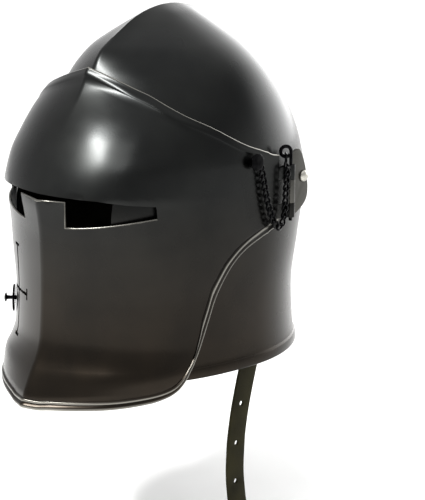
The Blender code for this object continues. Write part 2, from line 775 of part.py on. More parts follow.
def pivot_hole_mesh():
    """One long round bar through both pivots."""
    radius = PIVOT_SHANK_RADIUS + CLEARANCE
    bar = circle((PIVOT_BACK, PIVOT_HEIGHT), radius, ROUND_STEPS)
    return plate_mesh([bar], -1.5 * BOWL_HALF_WIDTH, 1.5 * BOWL_HALF_WIDTH, SIDE_VIEW)


def make_plate(parts, cutters):
    """The face plate with its sights, breath, knuckles and the holes for its peg and posts."""
    plate = add_object("visor", plate_mesh_half(), ("blackened_steel", STEEL), parts)
    halves = plate.modifiers.new("halves", "MIRROR")
    halves.merge_threshold = 0.00005
    spans = knuckle_spans()[:2]
    left = joined([plate_mesh(knuckle_outline(-1), low, high, PLAN_VIEW) for low, high in spans])
    knuckles = joined([left, mirrored(left)])
    combine(plate, add_cutter("knuckle_join", knuckles, cutters), "UNION")
    sights = plate_mesh([sight_outline()], 0.35 * PLATE_REACH, 1.5 * PLATE_REACH, FRONT_VIEW)
    combine(plate, add_cutter("sight_cut", sights, cutters), "DIFFERENCE")
    cross = plate_mesh([cross_outline()], 0.4 * PLATE_REACH, 1.5 * PLATE_REACH, FRONT_VIEW)
    combine(plate, add_cutter("breath_cut", cross, cutters), "DIFFERENCE")
    peg = turned_mesh(drill(PEG_STEM_RADIUS + CLEARANCE), 10)
    peg.transform(peg_frame())
    post = turned_mesh(drill(POST_STEM_RADIUS + CLEARANCE), 10)
    post.transform(post_frame())
    holes = joined([peg, post, mirrored(post)])
    combine(plate, add_cutter("hole_cut", holes, cutters), "DIFFERENCE")


def drill(radius, reach=3 * WALL):
    """The profile of a round cutter that stands both sides of a wall."""
    return ((0, reach), (radius, reach), (radius, -reach), (0, -reach))


def add_pair(name, data, look, parts, smooth=35):
    """The same piece at the wearer's left and right."""
    right = mirrored(data)
    add_object(name + "_left", data, look, parts, smooth)
    add_object(name + "_right", right, look, parts, smooth)


def applied(data, cut, operation):
    """A mesh with one Boolean carried out."""
    target = bpy.data.objects.new("target", data)
    operand = bpy.data.objects.new("operand", cut)
    scene = bpy.context.scene.collection
    scene.objects.link(target)
    scene.objects.link(operand)
    combine(target, operand, operation)
    bpy.context.view_layer.update()
    evaluated = target.evaluated_get(bpy.context.evaluated_depsgraph_get())
    result = bpy.data.meshes.new_from_object(evaluated)
    bpy.data.objects.remove(target)
    bpy.data.objects.remove(operand)
    return result


def make_arms(parts):
    """The two pivot arms: a flat tapered plate with a knuckle rolled on its front edge."""
    flat = plate_mesh([arm_outline()], SIDE_OUT - WALL, SIDE_OUT, SIDE_VIEW)
    low, high = knuckle_spans()[2]
    knuckle = plate_mesh(knuckle_outline(1), low, high, PLAN_VIEW)
    arm = applied(applied(flat, knuckle, "UNION"), pivot_hole_mesh(), "DIFFERENCE")
    add_pair("pivot_arm", arm, ("blackened_steel", STEEL), parts)


def make_pivots(parts):
    """The domed rivets that the arms turn on, each with the collar that stands the arm off the bowl."""
    near = bowl_side(PIVOT_BACK - PIVOT_COLLAR_RADIUS, PIVOT_HEIGHT) + CLEARANCE
    far = bowl_side(PIVOT_BACK + PIVOT_COLLAR_RADIUS, PIVOT_HEIGHT) - 1.7 * WALL - CLEARANCE
    face = SIDE_OUT + CLEARANCE
    inside = SIDE_OUT - WALL - CLEARANCE
    shank, head, collar = PIVOT_SHANK_RADIUS, PIVOT_HEAD_RADIUS, PIVOT_COLLAR_RADIUS
    dome = [(head * sin(a), face + PIVOT_HEAD_HEIGHT * cos(a)) for a in (0, 0.5, 0.95, 1.3)]
    profile = dome + [(head, face), (shank, face), (shank, inside), (collar, inside), (collar, near),
                      (shank, near), (shank, far), (collar, far), (collar, far - WALL), (0, far - WALL)]
    data = turned_mesh(profile)
    data.transform(Matrix.Translation((0, PIVOT_BACK, PIVOT_HEIGHT)) @ Matrix.Rotation(pi / 2, 4, "Y"))
    add_pair("pivot_rivet", data, ("bare_steel", BARE_STEEL), parts)


def end_link_places():
    """The chain's end link on the pin's ring: the ring's lowest point, the link's run and its side."""
    offset = PIN_RING_RADIUS * sqrt(0.5)
    drop = link_hold(END_LINK_LENGTH) - PIN_RADIUS - CLEARANCE + END_LINK_WIDTH / 2 - 2 * CHAIN_WIRE_RADIUS
    hang = drop * sqrt(0.5) + CHAIN_WIRE_RADIUS + END_LINK_LIFT
    low = Vector((BARREL_OUT - offset, BARREL_BACK - offset, BARREL_TOP + hang))
    facing = Vector((1, -1, 0)).normalized()
    up = Vector((0, 0, 1))
    return low, (facing - up).normalized(), (facing + up).normalized()


def ring_centre():
    """The centre of the left hinge pin's ring, in front of and inside the pin's own line."""
    return end_link_places()[0] + Vector((0, 0, PIN_RING_RADIUS))


def make_pins(parts):
    """The hinge pins: a straight wire through the knuckles, its top turned into a ring."""
    centre = ring_centre()
    back = Vector((BARREL_OUT, BARREL_BACK, centre.z)) - centre
    across = back.normalized()
    up = Vector((0, 0, 1))
    tail = BARREL_TOP - BARREL_HEIGHT - PIN_TAIL
    turn = radians(325)
    steps = 14
    ring = [centre + PIN_RING_RADIUS * (across * cos(turn * i / steps) + up * sin(turn * i / steps))
            for i in range(steps + 1)]
    points = [Vector((BARREL_OUT, BARREL_BACK, tail))] + ring
    add_pair("hinge_pin", wire_mesh(points, PIN_RADIUS), ("dark_steel", DARK_STEEL), parts)


def link_mesh(centre, along, side, length, width, twist):
    """One chain link: an oval of wire, twisted about its length."""
    face = along.cross(side)
    points = []
    for i in range(LINK_CORNERS):
        a = 2 * pi * (i + 0.5) / LINK_CORNERS
        p = (length / 2 - CHAIN_WIRE_RADIUS) * cos(a)
        q = (width / 2 - CHAIN_WIRE_RADIUS) * sin(a)
        turn = radians(twist) * 2 * p / length
        points.append(centre + along * p + (side * cos(turn) + face * sin(turn)) * q)
    return wire_mesh([tuple(p) for p in points], CHAIN_WIRE_RADIUS, 1, cyclic=True)


def link_hold(length):
    """How far a link's end wire runs from its middle."""
    return (length / 2 - CHAIN_WIRE_RADIUS) * cos(pi / LINK_CORNERS)


def end_link_middle():
    """The end link's middle, and the place inside its far end where the next link holds."""
    low, along, _ = end_link_places()
    middle = low + along * (link_hold(END_LINK_LENGTH) - CHAIN_WIRE_RADIUS - PIN_RADIUS - CLEARANCE)
    far = middle + along * (link_hold(END_LINK_LENGTH) - CHAIN_WIRE_RADIUS + LINK_OVERLAP / 2)
    return middle, far


def chain_route():
    """The left chain's middle line from its post to the end link, densely."""
    place = post_frame().translation
    reach = BARREL_BACK - place.y
    places = [(SIDE_OUT + out * CHAIN_STANDOFF, place.y + back * reach, place.z - drop * CHAIN_DROP)
              for out, back, drop in CHAIN_FALL]
    keyed = np.array(places + [tuple(end_link_middle()[1])])
    walked = np.append(0, np.cumsum(np.linalg.norm(np.diff(keyed, axis=0), axis=1)))
    table = np.column_stack([walked, keyed])
    return [Vector(smooth_table(table, s)[1:]) for s in np.linspace(0, walked[-1], 200)]


def make_chains(parts):
    """The keeper chains: twisted links fused in one run, from the post's stem to the pin's ring."""
    route = chain_route()
    walked = [0.0]
    for a, b in zip(route, route[1:]):
        walked.append(walked[-1] + (b - a).length)
    pitch = 2 * (link_hold(LINK_LENGTH) - CHAIN_WIRE_RADIUS) + LINK_OVERLAP
    count = round(walked[-1] / pitch)
    scale = walked[-1] / count / pitch
    links = []
    for i in range(count):
        s = (i + 0.5) * pitch * scale
        k = int(np.clip(np.searchsorted(walked, s), 1, len(route) - 1))
        along = (route[min(k + 3, len(route) - 1)] - route[max(k - 3, 0)]).normalized()
        side = Vector((1, 0, 0)).cross(along).normalized()
        twist = LINK_TWIST if i else 0
        links.append(link_mesh(route[k], along, side, LINK_LENGTH * scale, LINK_WIDTH, twist))
    _, run, side = end_link_places()
    links.append(link_mesh(end_link_middle()[0], run, side, END_LINK_LENGTH, END_LINK_WIDTH, 0))
    data = applied(joined(links[0::2]), joined(links[1::2]), "UNION")
    add_pair("chain", data, ("dark_steel", DARK_STEEL), parts, 60)


def make_posts(parts):
    """The small headed posts that the chains hang from."""
    stem, head = POST_STEM_RADIUS, POST_HEAD_RADIUS
    top = POST_STANDOFF
    low = seat(post_frame(), POST_FLANGE_RADIUS)
    high = low + POST_FLANGE_THICKNESS
    inside = -WALL - 2 * CLEARANCE
    profile = [(0, top + POST_HEAD_THICKNESS), (0.7 * head, top + POST_HEAD_THICKNESS),
               (head, top + 0.5 * POST_HEAD_THICKNESS), (head, top), (stem, top), (stem, high),
               (POST_FLANGE_RADIUS, high), (POST_FLANGE_RADIUS, low), (stem, low), (stem, inside),
               (2 * stem, inside), (2 * stem, inside - 0.5 * WALL), (0, inside - 0.5 * WALL)]
    data = turned_mesh(profile, 12)
    data.transform(post_frame())
    add_pair("chain_post", data, ("dark_steel", DARK_STEEL), parts)


def make_peg(parts):
    """The mushroom-headed lift peg and its washer, at the wearer's right."""
    stem, head = PEG_STEM_RADIUS, PEG_HEAD_RADIUS
    inside = -WALL - 2 * CLEARANCE
    cap = 0.45 * head
    profile = [(0, PEG_LENGTH), (0.6 * head, PEG_LENGTH - 0.2 * cap), (head, PEG_LENGTH - cap),
               (stem, PEG_LENGTH - 1.2 * cap), (stem, inside), (2 * stem, inside),
               (2 * stem, inside - 0.5 * WALL), (0, inside - 0.5 * WALL)]
    peg = turned_mesh(profile, 12)
    peg.transform(peg_frame())
    add_object("lift_peg", peg, ("dark_steel", DARK_STEEL), parts)
    low = seat(peg_frame(), PEG_WASHER_RADIUS)
    high = low + PEG_WASHER_THICKNESS
    ring = circle((0, 0), PEG_WASHER_RADIUS, 20)
    bore = circle((0, 0), stem + CLEARANCE, 10)
    washer = plate_mesh([ring, bore], low, high, peg_frame())
    add_object("lift_peg_washer", washer, ("dark_steel", DARK_STEEL), parts)


def strap_side():
    """How far out the straps' outer faces hang, just inside the rim."""
    return bowl_side(0.0, height_of(0.07)) - WALL - STRAP_INSET


def strap_line():
    """The chin strap's middle line from its top end down, seen from the side, densely."""
    places = np.array([(STRAP_BACK - forward * STRAP_DROP, STUD_MIDDLE - drop * STRAP_DROP)
                       for forward, drop in STRAP_FALL])
    walked = np.append(0, np.cumsum(np.linalg.norm(np.diff(places, axis=0), axis=1)))
    table = np.column_stack([walked, places])
    return [smooth_table(table, s)[1:] for s in np.linspace(0, walked[-1], 15)]


def ribbon_outline(line, width):
    """A ribbon's outline round its middle line, with its far end cut to a blunt point."""
    left, right = [], []
    for i, (a, b) in enumerate(line):
        before, after = line[max(i - 1, 0)], line[min(i + 1, len(line) - 1)]
        run = np.array(after) - np.array(before)
        normal = np.array((-run[1], run[0])) / np.linalg.norm(run) * width / 2
        left.append((a + normal[0], b + normal[1]))
        right.append((a - normal[0], b - normal[1]))
    run = np.array(line[-1]) - np.array(line[-2])
    tip = np.array(line[-1]) + run / np.linalg.norm(run) * width * 0.35
    return left + [tuple(tip)] + right[::-1]


def make_straps(parts):
    """The chin strap and its buckle piece, each on a stud inside the bowl."""
    out = strap_side()
    line = strap_line()
    walked = [0.0]
    for a, b in zip(line, line[1:]):
        walked.append(walked[-1] + float(np.hypot(b[0] - a[0], b[1] - a[1])))
    holes = []
    for i in range(STRAP_HOLES):
        s = STRAP_FIRST_HOLE + i * STRAP_HOLE_PITCH
        centre = [float(np.interp(s, walked, [p[k] for p in line])) for k in (0, 1)]
        holes.append(circle(centre, STRAP_HOLE_RADIUS, 8))
    stud = circle((STRAP_BACK, STUD_MIDDLE), STUD_SHANK_RADIUS + CLEARANCE, 10)
    strap = plate_mesh([ribbon_outline(line, STRAP_WIDTH), stud] + holes, out - STRAP_THICKNESS, out,
                       SIDE_VIEW)
    add_object("chin_strap", strap, ("leather", LEATHER), parts)
    make_buckle_side(parts, out, stud)
    make_studs(parts, out)


def make_buckle_side(parts, out, stud):
    """The short strap at the wearer's right, folded round the bar of a plain buckle."""
    top = STUD_MIDDLE + 0.5 * STRAP_WIDTH
    low = top - BUCKLE_STRAP_LENGTH
    inner = BUCKLE_WIRE_RADIUS + CLEARANCE
    outer = inner + STRAP_THICKNESS
    middle = out - STRAP_THICKNESS / 2
    bar = low - outer + 0.5 * STRAP_THICKNESS
    half = STRAP_WIDTH / 2
    outline = [(STRAP_BACK - half, top), (STRAP_BACK + half, top), (STRAP_BACK + half, low),
               (STRAP_BACK - half, low)]
    strap = plate_mesh([outline, stud], out - STRAP_THICKNESS, out, SIDE_VIEW)
    fold = [circle((middle, bar), outer, 12), circle((middle, bar), inner, 12)]
    spans = ((STRAP_BACK - half, STRAP_BACK - PRONG_SLOT / 2),
             (STRAP_BACK + PRONG_SLOT / 2, STRAP_BACK + half))
    folds = joined([plate_mesh(fold, -end, -start, FRONT_VIEW) for start, end in spans])
    strap = applied(strap, folds, "UNION")
    add_object("buckle_strap", mirrored(strap), ("leather", LEATHER), parts)
    wide, corner = BUCKLE_WIDTH / 2, BUCKLE_CORNER
    foot = bar - BUCKLE_HEIGHT
    corners = ((wide, bar, 0), (-wide, bar, 90), (-wide, foot, 180), (wide, foot, 270))
    loop = []
    for y, z, start in corners:
        centre = (y - corner * (1 if y > 0 else -1), z - corner * (1 if z == bar else -1))
        loop += circle(centre, corner, 3, radians(start), pi / 2)
    frame = wire_mesh([(middle, STRAP_BACK + y, z) for y, z in loop], BUCKLE_WIRE_RADIUS, 1, cyclic=True)
    prong = wire_mesh([(middle, STRAP_BACK, bar + 0.5 * BUCKLE_WIRE_RADIUS),
                       (middle + PRONG_RADIUS, STRAP_BACK, (bar + foot) / 2),
                       (middle + 0.5 * PRONG_RADIUS, STRAP_BACK, foot - 0.8 * BUCKLE_WIRE_RADIUS)],
                      PRONG_RADIUS)
    buckle = applied(frame, prong, "UNION")
    add_object("buckle", mirrored(buckle), ("dark_steel", DARK_STEEL), parts)


def make_studs(parts, out):
    """The studs that hold the straps to the bowl's inside."""
    root = bowl_side(STRAP_BACK, STUD_MIDDLE) - 1.1 * WALL - CLEARANCE
    inner = out - STRAP_THICKNESS - CLEARANCE
    shank, head = STUD_SHANK_RADIUS, STUD_HEAD_RADIUS
    profile = [(0, root), (shank, root), (shank, inner), (head, inner),
               (0.8 * head, inner - 0.75 * STUD_HEAD_HEIGHT), (0, inner - STUD_HEAD_HEIGHT)]
    data = turned_mesh(profile, 12)
    data.transform(Matrix.Translation((0, STRAP_BACK, STUD_MIDDLE)) @ Matrix.Rotation(pi / 2, 4, "Y"))
    add_pair("strap_stud", data, ("dark_steel", DARK_STEEL), parts)


def build():
    """Make every part."""
    for old in list(bpy.data.objects):
        bpy.data.objects.remove(old, do_unlink=True)
    parts = group("visored_barbute")
    cutters = group("cutters")
    make_bowl(parts, cutters)
    make_plate(parts, cutters)
    make_arms(parts)
    make_pivots(parts)
    make_pins(parts)
    make_posts(parts)
    make_chains(parts)
    make_peg(parts)
    make_straps(parts)


build()
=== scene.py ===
# %% [markdown]
# # A visored barbute
#
# This lesson dresses a steel helmet: a keeled bowl, a face plate that lifts on two pivots, the chains that
# keep its hinge pins, and a leather chin strap. The solid model comes first, as a fixed frame. Each cell
# after that makes one piece or one finish. Lengths are in metres, Z is up, and the face looks along -Y.

# %% Load the frame
from math import asin, cos, pi, radians, sin, sqrt, tan

import bmesh
import bpy
import numpy as np
from mathutils import Matrix, Vector


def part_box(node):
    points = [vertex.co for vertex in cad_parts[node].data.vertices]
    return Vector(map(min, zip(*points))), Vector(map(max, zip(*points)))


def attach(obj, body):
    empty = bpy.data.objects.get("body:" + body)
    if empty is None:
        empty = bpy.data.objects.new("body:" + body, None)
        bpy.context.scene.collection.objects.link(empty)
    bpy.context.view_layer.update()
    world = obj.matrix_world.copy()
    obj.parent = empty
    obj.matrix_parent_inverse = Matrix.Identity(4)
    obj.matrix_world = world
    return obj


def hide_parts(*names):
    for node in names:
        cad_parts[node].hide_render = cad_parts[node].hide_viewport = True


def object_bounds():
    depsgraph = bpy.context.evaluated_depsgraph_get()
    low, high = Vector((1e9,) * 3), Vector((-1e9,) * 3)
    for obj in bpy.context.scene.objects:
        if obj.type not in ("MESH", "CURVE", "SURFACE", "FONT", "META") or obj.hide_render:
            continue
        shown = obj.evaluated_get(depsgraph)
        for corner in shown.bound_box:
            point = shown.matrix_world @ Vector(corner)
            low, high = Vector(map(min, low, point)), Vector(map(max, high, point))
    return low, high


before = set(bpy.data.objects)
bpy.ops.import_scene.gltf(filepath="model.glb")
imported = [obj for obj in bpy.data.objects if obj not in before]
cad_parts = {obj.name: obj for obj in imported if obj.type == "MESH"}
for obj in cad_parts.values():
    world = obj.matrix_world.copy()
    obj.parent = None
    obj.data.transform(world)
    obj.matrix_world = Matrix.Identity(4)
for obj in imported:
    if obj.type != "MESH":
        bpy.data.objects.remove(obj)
cad_box = [list(corner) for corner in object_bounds()]
print("CAD box in mm:", [[round(1000 * c) for c in corner] for corner in cad_box])

# %% [markdown]
# ## The camera
#
# A long lens flattens the helmet, as in a product photograph taken from the wearer's left front and a little
# above. A place and a direction say that more plainly than three angles, so the camera's -Z axis is turned
# along the direction.

# %% Set the camera
camera = bpy.data.objects.new("camera", bpy.data.cameras.new("camera"))
bpy.context.scene.collection.objects.link(camera)
camera.location = (0.9527, -0.9315, 0.1276)
camera.rotation_euler = Vector((-0.6757, 0.6958, -0.2436)).to_track_quat("-Z", "Y").to_euler()
camera.data.sensor_fit = "VERTICAL"
camera.data.sensor_height = 36
camera.data.lens = 116.3
bpy.context.scene.camera = camera
print("camera distance in m:", round(camera.location.length, 2))

# %% [markdown]
# ## Finishes
#
# Colours are picked as they look on a screen, in hex, and Blender's shaders want linear light, so one
# function turns the one into the other. A second small function adds a node, sets it and links it.

# %% Colour and node helpers
def linear(hex_colour):
    """A hex sRGB colour as linear RGBA."""
    parts = [int(hex_colour[i:i + 2], 16) / 255 for i in (1, 3, 5)]
    return [c / 12.92 if c <= 0.04045 else ((c + 0.055) / 1.055)**2.4 for c in parts] + [1.0]


def add_node(tree, kind, inputs=None, **settings):
    """Add a shader node, set its properties, and set or link its inputs."""
    made = tree.nodes.new("ShaderNode" + kind)
    for name, value in settings.items():
        setattr(made, name, value)
    for name, value in (inputs or {}).items():
        socket = made.inputs[name] if isinstance(name, int) else next(
            entry for entry in made.inputs if entry.name == name and entry.enabled)
        if isinstance(value, bpy.types.NodeSocket):
            tree.links.new(value, socket)
        else:
            socket.default_value = value
    return made


def new_finish(name, **values):
    """A material with its constant values set on the shader itself."""
    finish = bpy.data.materials.new(name)
    finish.use_nodes = True
    shader = finish.node_tree.nodes["Principled BSDF"]
    for socket, value in values.items():
        shader.inputs[socket.replace("_", " ")].default_value = value
    return finish, finish.node_tree, shader


def ramp(tree, factor, low, high, dark, light):
    """A colour ramp between two hex colours."""
    made = add_node(tree, "ValToRGB", {"Fac": factor})
    for stop, place, colour in zip(made.color_ramp.elements, (low, high), (dark, light)):
        stop.position = place
        stop.color = linear(colour)
    return made.outputs["Color"]


def noise(tree, place, scale, detail):
    """A noise pattern whose patches are about 1 / scale metres across."""
    return add_node(tree, "TexNoise", {"Vector": place, "Scale": scale, "Detail": detail}).outputs["Fac"]


def blend(tree, share, first, second):
    """Two colours mixed by a share."""
    made = add_node(tree, "Mix", {"Factor": share, "A": first, "B": second}, data_type="RGBA")
    return next(entry for entry in made.outputs if entry.enabled)


def vary_roughness(tree, shader, value, smooth, rough, start=0.0, end=1.0):
    """Let a pattern's value, from start to end, drive the roughness between two limits."""
    spread = add_node(tree, "MapRange", {"Value": value, "From Min": start, "From Max": end,
                                         "To Min": smooth, "To Max": rough})
    tree.links.new(spread.outputs["Result"], shader.inputs["Roughness"])


print("mid grey in linear light:", round(linear("#808080")[0], 3))

# %% [markdown]
# ## Blackened steel
#
# The bowl and the face plate are mild steel, raised with hammers, planished, blackened with heat and oil,
# and rubbed to a satin. Oxide is dark face on and mirrors its surroundings at a glancing angle, so the
# helmet's outline is bright and its middle dark. Cloudy patches some 60 mm across come from the oil, and
# faint marks about 1.5 mm apart from the rubbing. The oil has browned towards the chin, where it ran. An
# attribute on some pieces paints parts of them lighter, towards bare steel: on the rolled edges this is
# partly wear and partly painted highlight, and on the sights' lip and the pivot arms it is painted light.

# %% Blackened steel
def blackened_steel():
    """Satin steel under dark oxide: low face-on reflection, cloudy tone and fine rubbing marks."""
    finish, tree, shader = new_finish("blackened_satin_steel", Metallic=1.0, Coat_Weight=0.15,
                                      Coat_Roughness=0.22)
    place = add_node(tree, "TexCoord").outputs["Object"]
    cloud, marks = noise(tree, place, 16.0, 3.0), noise(tree, place, 650.0, 2.0)
    cool = ramp(tree, cloud, 0.32, 0.68, "#191a1a", "#232423")
    warm = ramp(tree, cloud, 0.32, 0.68, "#1c1813", "#262019")
    height = add_node(tree, "SeparateXYZ", {"Vector": place}).outputs["Z"]
    ran = add_node(tree, "MapRange", {"Value": height, "From Min": -0.13, "From Max": -0.26})
    tone = blend(tree, ran.outputs["Result"], cool, warm)
    # Painted highlight and wear: the attribute blends the colour towards bare steel on the marked parts.
    wear_and_highlight = add_node(tree, "Attribute", attribute_name="wear_and_highlight").outputs["Fac"]
    tree.links.new(blend(tree, wear_and_highlight, tone, linear("#b4b1a8")), shader.inputs["Base Color"])
    vary_roughness(tree, shader, cloud, 0.24, 0.32, 0.3, 0.7)
    bump = add_node(tree, "Bump", {"Height": marks, "Strength": 0.10, "Distance": 0.0002})
    tree.links.new(bump.outputs["Normal"], shader.inputs["Normal"])
    return finish


black_steel = blackened_steel()
print("made", black_steel.name)

# %% [markdown]
# ## Small steel
#
# Pins, posts, links and the buckle are bought drawn wire and turned studs, dipped black. Their black is
# uneven in small patches, and a little shinier than the bowl. The pivot rivets are bare: their domes are
# burnished by the rivet set.

# %% Dark wire and bare rivets
def dark_wire():
    """Oiled black wire with slight unevenness about 4 mm across."""
    finish, tree, shader = new_finish("oiled_black_wire", Metallic=1.0)
    place = add_node(tree, "TexCoord").outputs["Object"]
    wear = noise(tree, place, 240.0, 2.0)
    tree.links.new(ramp(tree, wear, 0.35, 0.70, "#070708", "#131314"), shader.inputs["Base Color"])
    vary_roughness(tree, shader, wear, 0.16, 0.28)
    return finish


def bare_rivet():
    """Burnished steel with fine scratches about 0.5 mm apart."""
    finish, tree, shader = new_finish("burnished_steel", Metallic=1.0, Base_Color=linear("#b8b6ae"))
    place = add_node(tree, "TexCoord").outputs["Object"]
    vary_roughness(tree, shader, noise(tree, place, 1800.0, 2.0), 0.22, 0.38)
    return finish


black_wire, burnished = dark_wire(), bare_rivet()
print("made", black_wire.name, "and", burnished.name)

# %% [markdown]
# ## Strap leather
#
# The strap is vegetable-tanned cowhide, dyed a dark olive brown and oiled. Its grain is a net of small
# cells about 1 mm across, which a Voronoi pattern gives, and its tone drifts along the strap where fingers
# have darkened it.

# %% Strap leather
def strap_leather():
    """Dark dyed cowhide: cell grain, soft colour drift and a dull oiled sheen."""
    finish, tree, shader = new_finish("oiled_strap_leather", Metallic=0.0, Specular_IOR_Level=0.07)
    place = add_node(tree, "TexCoord").outputs["Object"]
    drift, fine = noise(tree, place, 42.0, 4.0), noise(tree, place, 1500.0, 3.0)
    tree.links.new(ramp(tree, drift, 0.30, 0.72, "#1a180b", "#2b2816"), shader.inputs["Base Color"])
    cells = add_node(tree, "TexVoronoi", {"Vector": place, "Scale": 900.0}, feature="DISTANCE_TO_EDGE")
    grain = add_node(tree, "Math", {0: cells.outputs["Distance"], 1: fine}, operation="ADD")
    bump = add_node(tree, "Bump", {"Height": grain.outputs[0], "Strength": 0.35, "Distance": 0.0004})
    tree.links.new(bump.outputs["Normal"], shader.inputs["Normal"])
    vary_roughness(tree, shader, fine, 0.45, 0.70)
    return finish


leather = strap_leather()
print("made", leather.name)

# %% [markdown]
# ## How a piece is finished
#
# Every piece gets its finish, rides on a body of the frame, and hides the solid it stands for. One function
# does it all, so that no piece misses a step.

# %% Finish a piece
SLOTS = {black_steel: "blackened_steel", black_wire: "dark_steel", burnished: "bare_steel", leather: "leather"}


def add_object(name, data):
    """A new object in the scene."""
    made = bpy.data.objects.new(name, data)
    bpy.context.scene.collection.objects.link(made)
    return made


def finish_piece(name, mesh, finish, body, stands_for, sharp=35):
    """Link a mesh as a piece of the helmet and tie it to the frame."""
    mesh.name = name
    mesh.materials.clear()
    mesh.materials.append(finish)
    mesh.shade_smooth()
    mesh.set_sharp_from_angle(angle=radians(sharp))
    piece, slot = add_object(name, mesh), SLOTS[finish]
    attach(piece, body)
    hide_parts(*stands_for)
    print(name, len(mesh.polygons), "faces")


def to_mesh(form):
    """A bmesh as a mesh."""
    mesh = bpy.data.meshes.new("mesh")
    form.to_mesh(mesh)
    form.free()
    return mesh


def clean(form, dist):
    """Merge the points of a form that meet, and point its faces outwards."""
    bmesh.ops.remove_doubles(form, verts=form.verts, dist=dist)
    bmesh.ops.recalc_face_normals(form, faces=form.faces)


def joined(meshes):
    """Several meshes as one."""
    form = bmesh.new()
    for mesh in meshes:
        form.from_mesh(mesh)
    return to_mesh(form)


def painted_light_all_over(mesh, share):
    """A mesh painted lighter by the same share everywhere, as painted light."""
    mesh.attributes.new("wear_and_highlight", "FLOAT", "POINT").data.foreach_set("value", [share] * len(mesh.vertices))
    return mesh


def baked(mesh, cutter=None, rounding=0.0):
    """A mesh after a cut and, where asked, a small rounding of its edges."""
    holder = add_object("holder", mesh)
    other = None
    if cutter:
        other = add_object("cutter", cutter)
        cut = holder.modifiers.new("cut", "BOOLEAN")
        cut.operation, cut.object, cut.solver = "DIFFERENCE", other, "EXACT"
    if rounding:
        edge = holder.modifiers.new("rounding", "BEVEL")
        edge.width, edge.segments, edge.limit_method, edge.angle_limit = rounding, 2, "ANGLE", radians(35)
    bpy.context.view_layer.update()
    made = bpy.data.meshes.new_from_object(holder.evaluated_get(bpy.context.evaluated_depsgraph_get()))
    bpy.data.objects.remove(holder)
    if other:
        bpy.data.objects.remove(other)
    return made


def mirrored(mesh):
    """The same piece for the wearer's right side."""
    copy = mesh.copy()
    copy.transform(Matrix.Scale(-1, 4, (1, 0, 0)))
    copy.flip_normals()
    return copy


def finish_pair(name, mesh, finish, body, sharp=35):
    """Finish a piece at the wearer's left, and its mirror image at the right."""
    for side, form in ((name + "_left", mesh), (name + "_right", mirrored(mesh))):
        finish_piece("dressed_" + side, form, finish, body, [side], sharp)


print("helpers ready")

# %% [markdown]
# ## The bowl's form
#
# An armourer raises the bowl from one sheet, checking it against templates. The templates are the level
# plan sections here. A table gives each section's height and its front, back and half width as shares of
# the bowl's own sizes, and a smooth curve runs through each column. Each quarter of a section is one
# Bezier arc, square to the widest place and leaning back from the median plane where the keel is.

# %% Sections of the bowl
WALL = 0.002
BOWL_HEIGHT, BOWL_HALF_WIDTH, BOWL_FRONT_REACH, BOWL_BACK_REACH = 0.2875, 0.1037, 0.1387, 0.1205
BOWL_SECTIONS = (
    (0.000, 0.976, 0.930, 0.965, 0),
    (0.075, 0.969, 0.905, 0.949, 0),
    (0.192, 0.976, 0.872, 0.963, 0),
    (0.326, 0.990, 0.935, 0.986, 0),
    (0.459, 1.000, 1.000, 1.000, 0),
    (0.529, 0.969, 1.000, 1.000, 0),
    (0.593, 0.896, 0.965, 0.986, 0),
    (0.710, 0.747, 0.860, 0.917, 4),
    (0.793, 0.657, 0.738, 0.819, 10),
    (0.840, 0.616, 0.655, 0.732, 16),
    (0.886, 0.557, 0.568, 0.593, 26),
    (0.913, 0.484, 0.503, 0.482, 34),
    (0.937, 0.405, 0.428, 0.370, 42),
    (0.962, 0.318, 0.341, 0.241, 52),
    (0.981, 0.228, 0.254, 0.134, 60),
    (0.9917, 0.148, 0.166, 0.060, 62),
    (0.9983, 0.066, 0.072, 0.012, 62),
    (1.000, 0.000, 0.000, 0.000, 62),
)


def smooth_table(table, x):
    """Read every column of a table at x, its first column, without overshooting its rows."""
    keys = table[:, 0]
    gap = np.diff(keys)
    rise = np.diff(table, axis=0) / gap[:, None]
    i = int(np.clip(np.searchsorted(keys, x) - 1, 0, len(keys) - 2))

    def slope(k):
        if k in (0, len(keys) - 1):
            return rise[min(k, len(rise) - 1)]
        a, b = gap[k - 1], gap[k]
        under, over = rise[k - 1], rise[k]
        same = under * over > 0
        safe_under, safe_over = np.where(same, under, 1.0), np.where(same, over, 1.0)
        mix = (2 * b + a) / safe_under + (b + 2 * a) / safe_over
        return np.where(same, 3 * (a + b) / mix, 0.0)

    t = (np.clip(x, keys[0], keys[-1]) - keys[i]) / gap[i]
    return ((2 * t**3 - 3 * t**2 + 1) * table[i] + (t**3 - 2 * t**2 + t) * gap[i] * slope(i)
            + (3 * t**2 - 2 * t**3) * table[i + 1] + (t**3 - t**2) * gap[i] * slope(i + 1))


def walked_along(points):
    """The distance walked from the first of a row of points to each of them."""
    return np.append(0, np.cumsum(np.linalg.norm(np.diff(points, axis=0), axis=1)))


def quarter(reach, half_width, lean, tip_fullness, side_fullness, t):
    """A quarter of a plan section: t = 0 at the median plane, 1 at the widest place."""
    x1 = tip_fullness * half_width
    y1 = reach - x1 * tan(radians(lean))
    x = 3 * t * (1 - t)**2 * x1 + 3 * t**2 * (1 - t) * half_width + t**3 * half_width
    y = (1 - t)**3 * reach + 3 * t * (1 - t)**2 * y1 + 3 * t**2 * (1 - t) * side_fullness * reach
    return x, y


bowl_sizes = np.array([BOWL_HEIGHT, BOWL_FRONT_REACH, BOWL_BACK_REACH, BOWL_HALF_WIDTH, 1])
bowl_rows = np.array(BOWL_SECTIONS) * bowl_sizes
walked = walked_along(bowl_rows[:, :4])
bowl_table = np.column_stack([walked, bowl_rows])
print("length walked from rim to crown in mm:", round(1000 * walked[-1]))

# %% [markdown]
# ## The bowl's surface
#
# A flat grid is the easiest start for a shell: its rows become the sections, and its columns run round
# them. The first rows climb the outside, the later rows come back down the inside, and the last row meets
# the first, so the grid closes into a wall 2 mm thick. Only the left half is made, and a mirror gives the
# right half, so the keel is exactly in the middle.

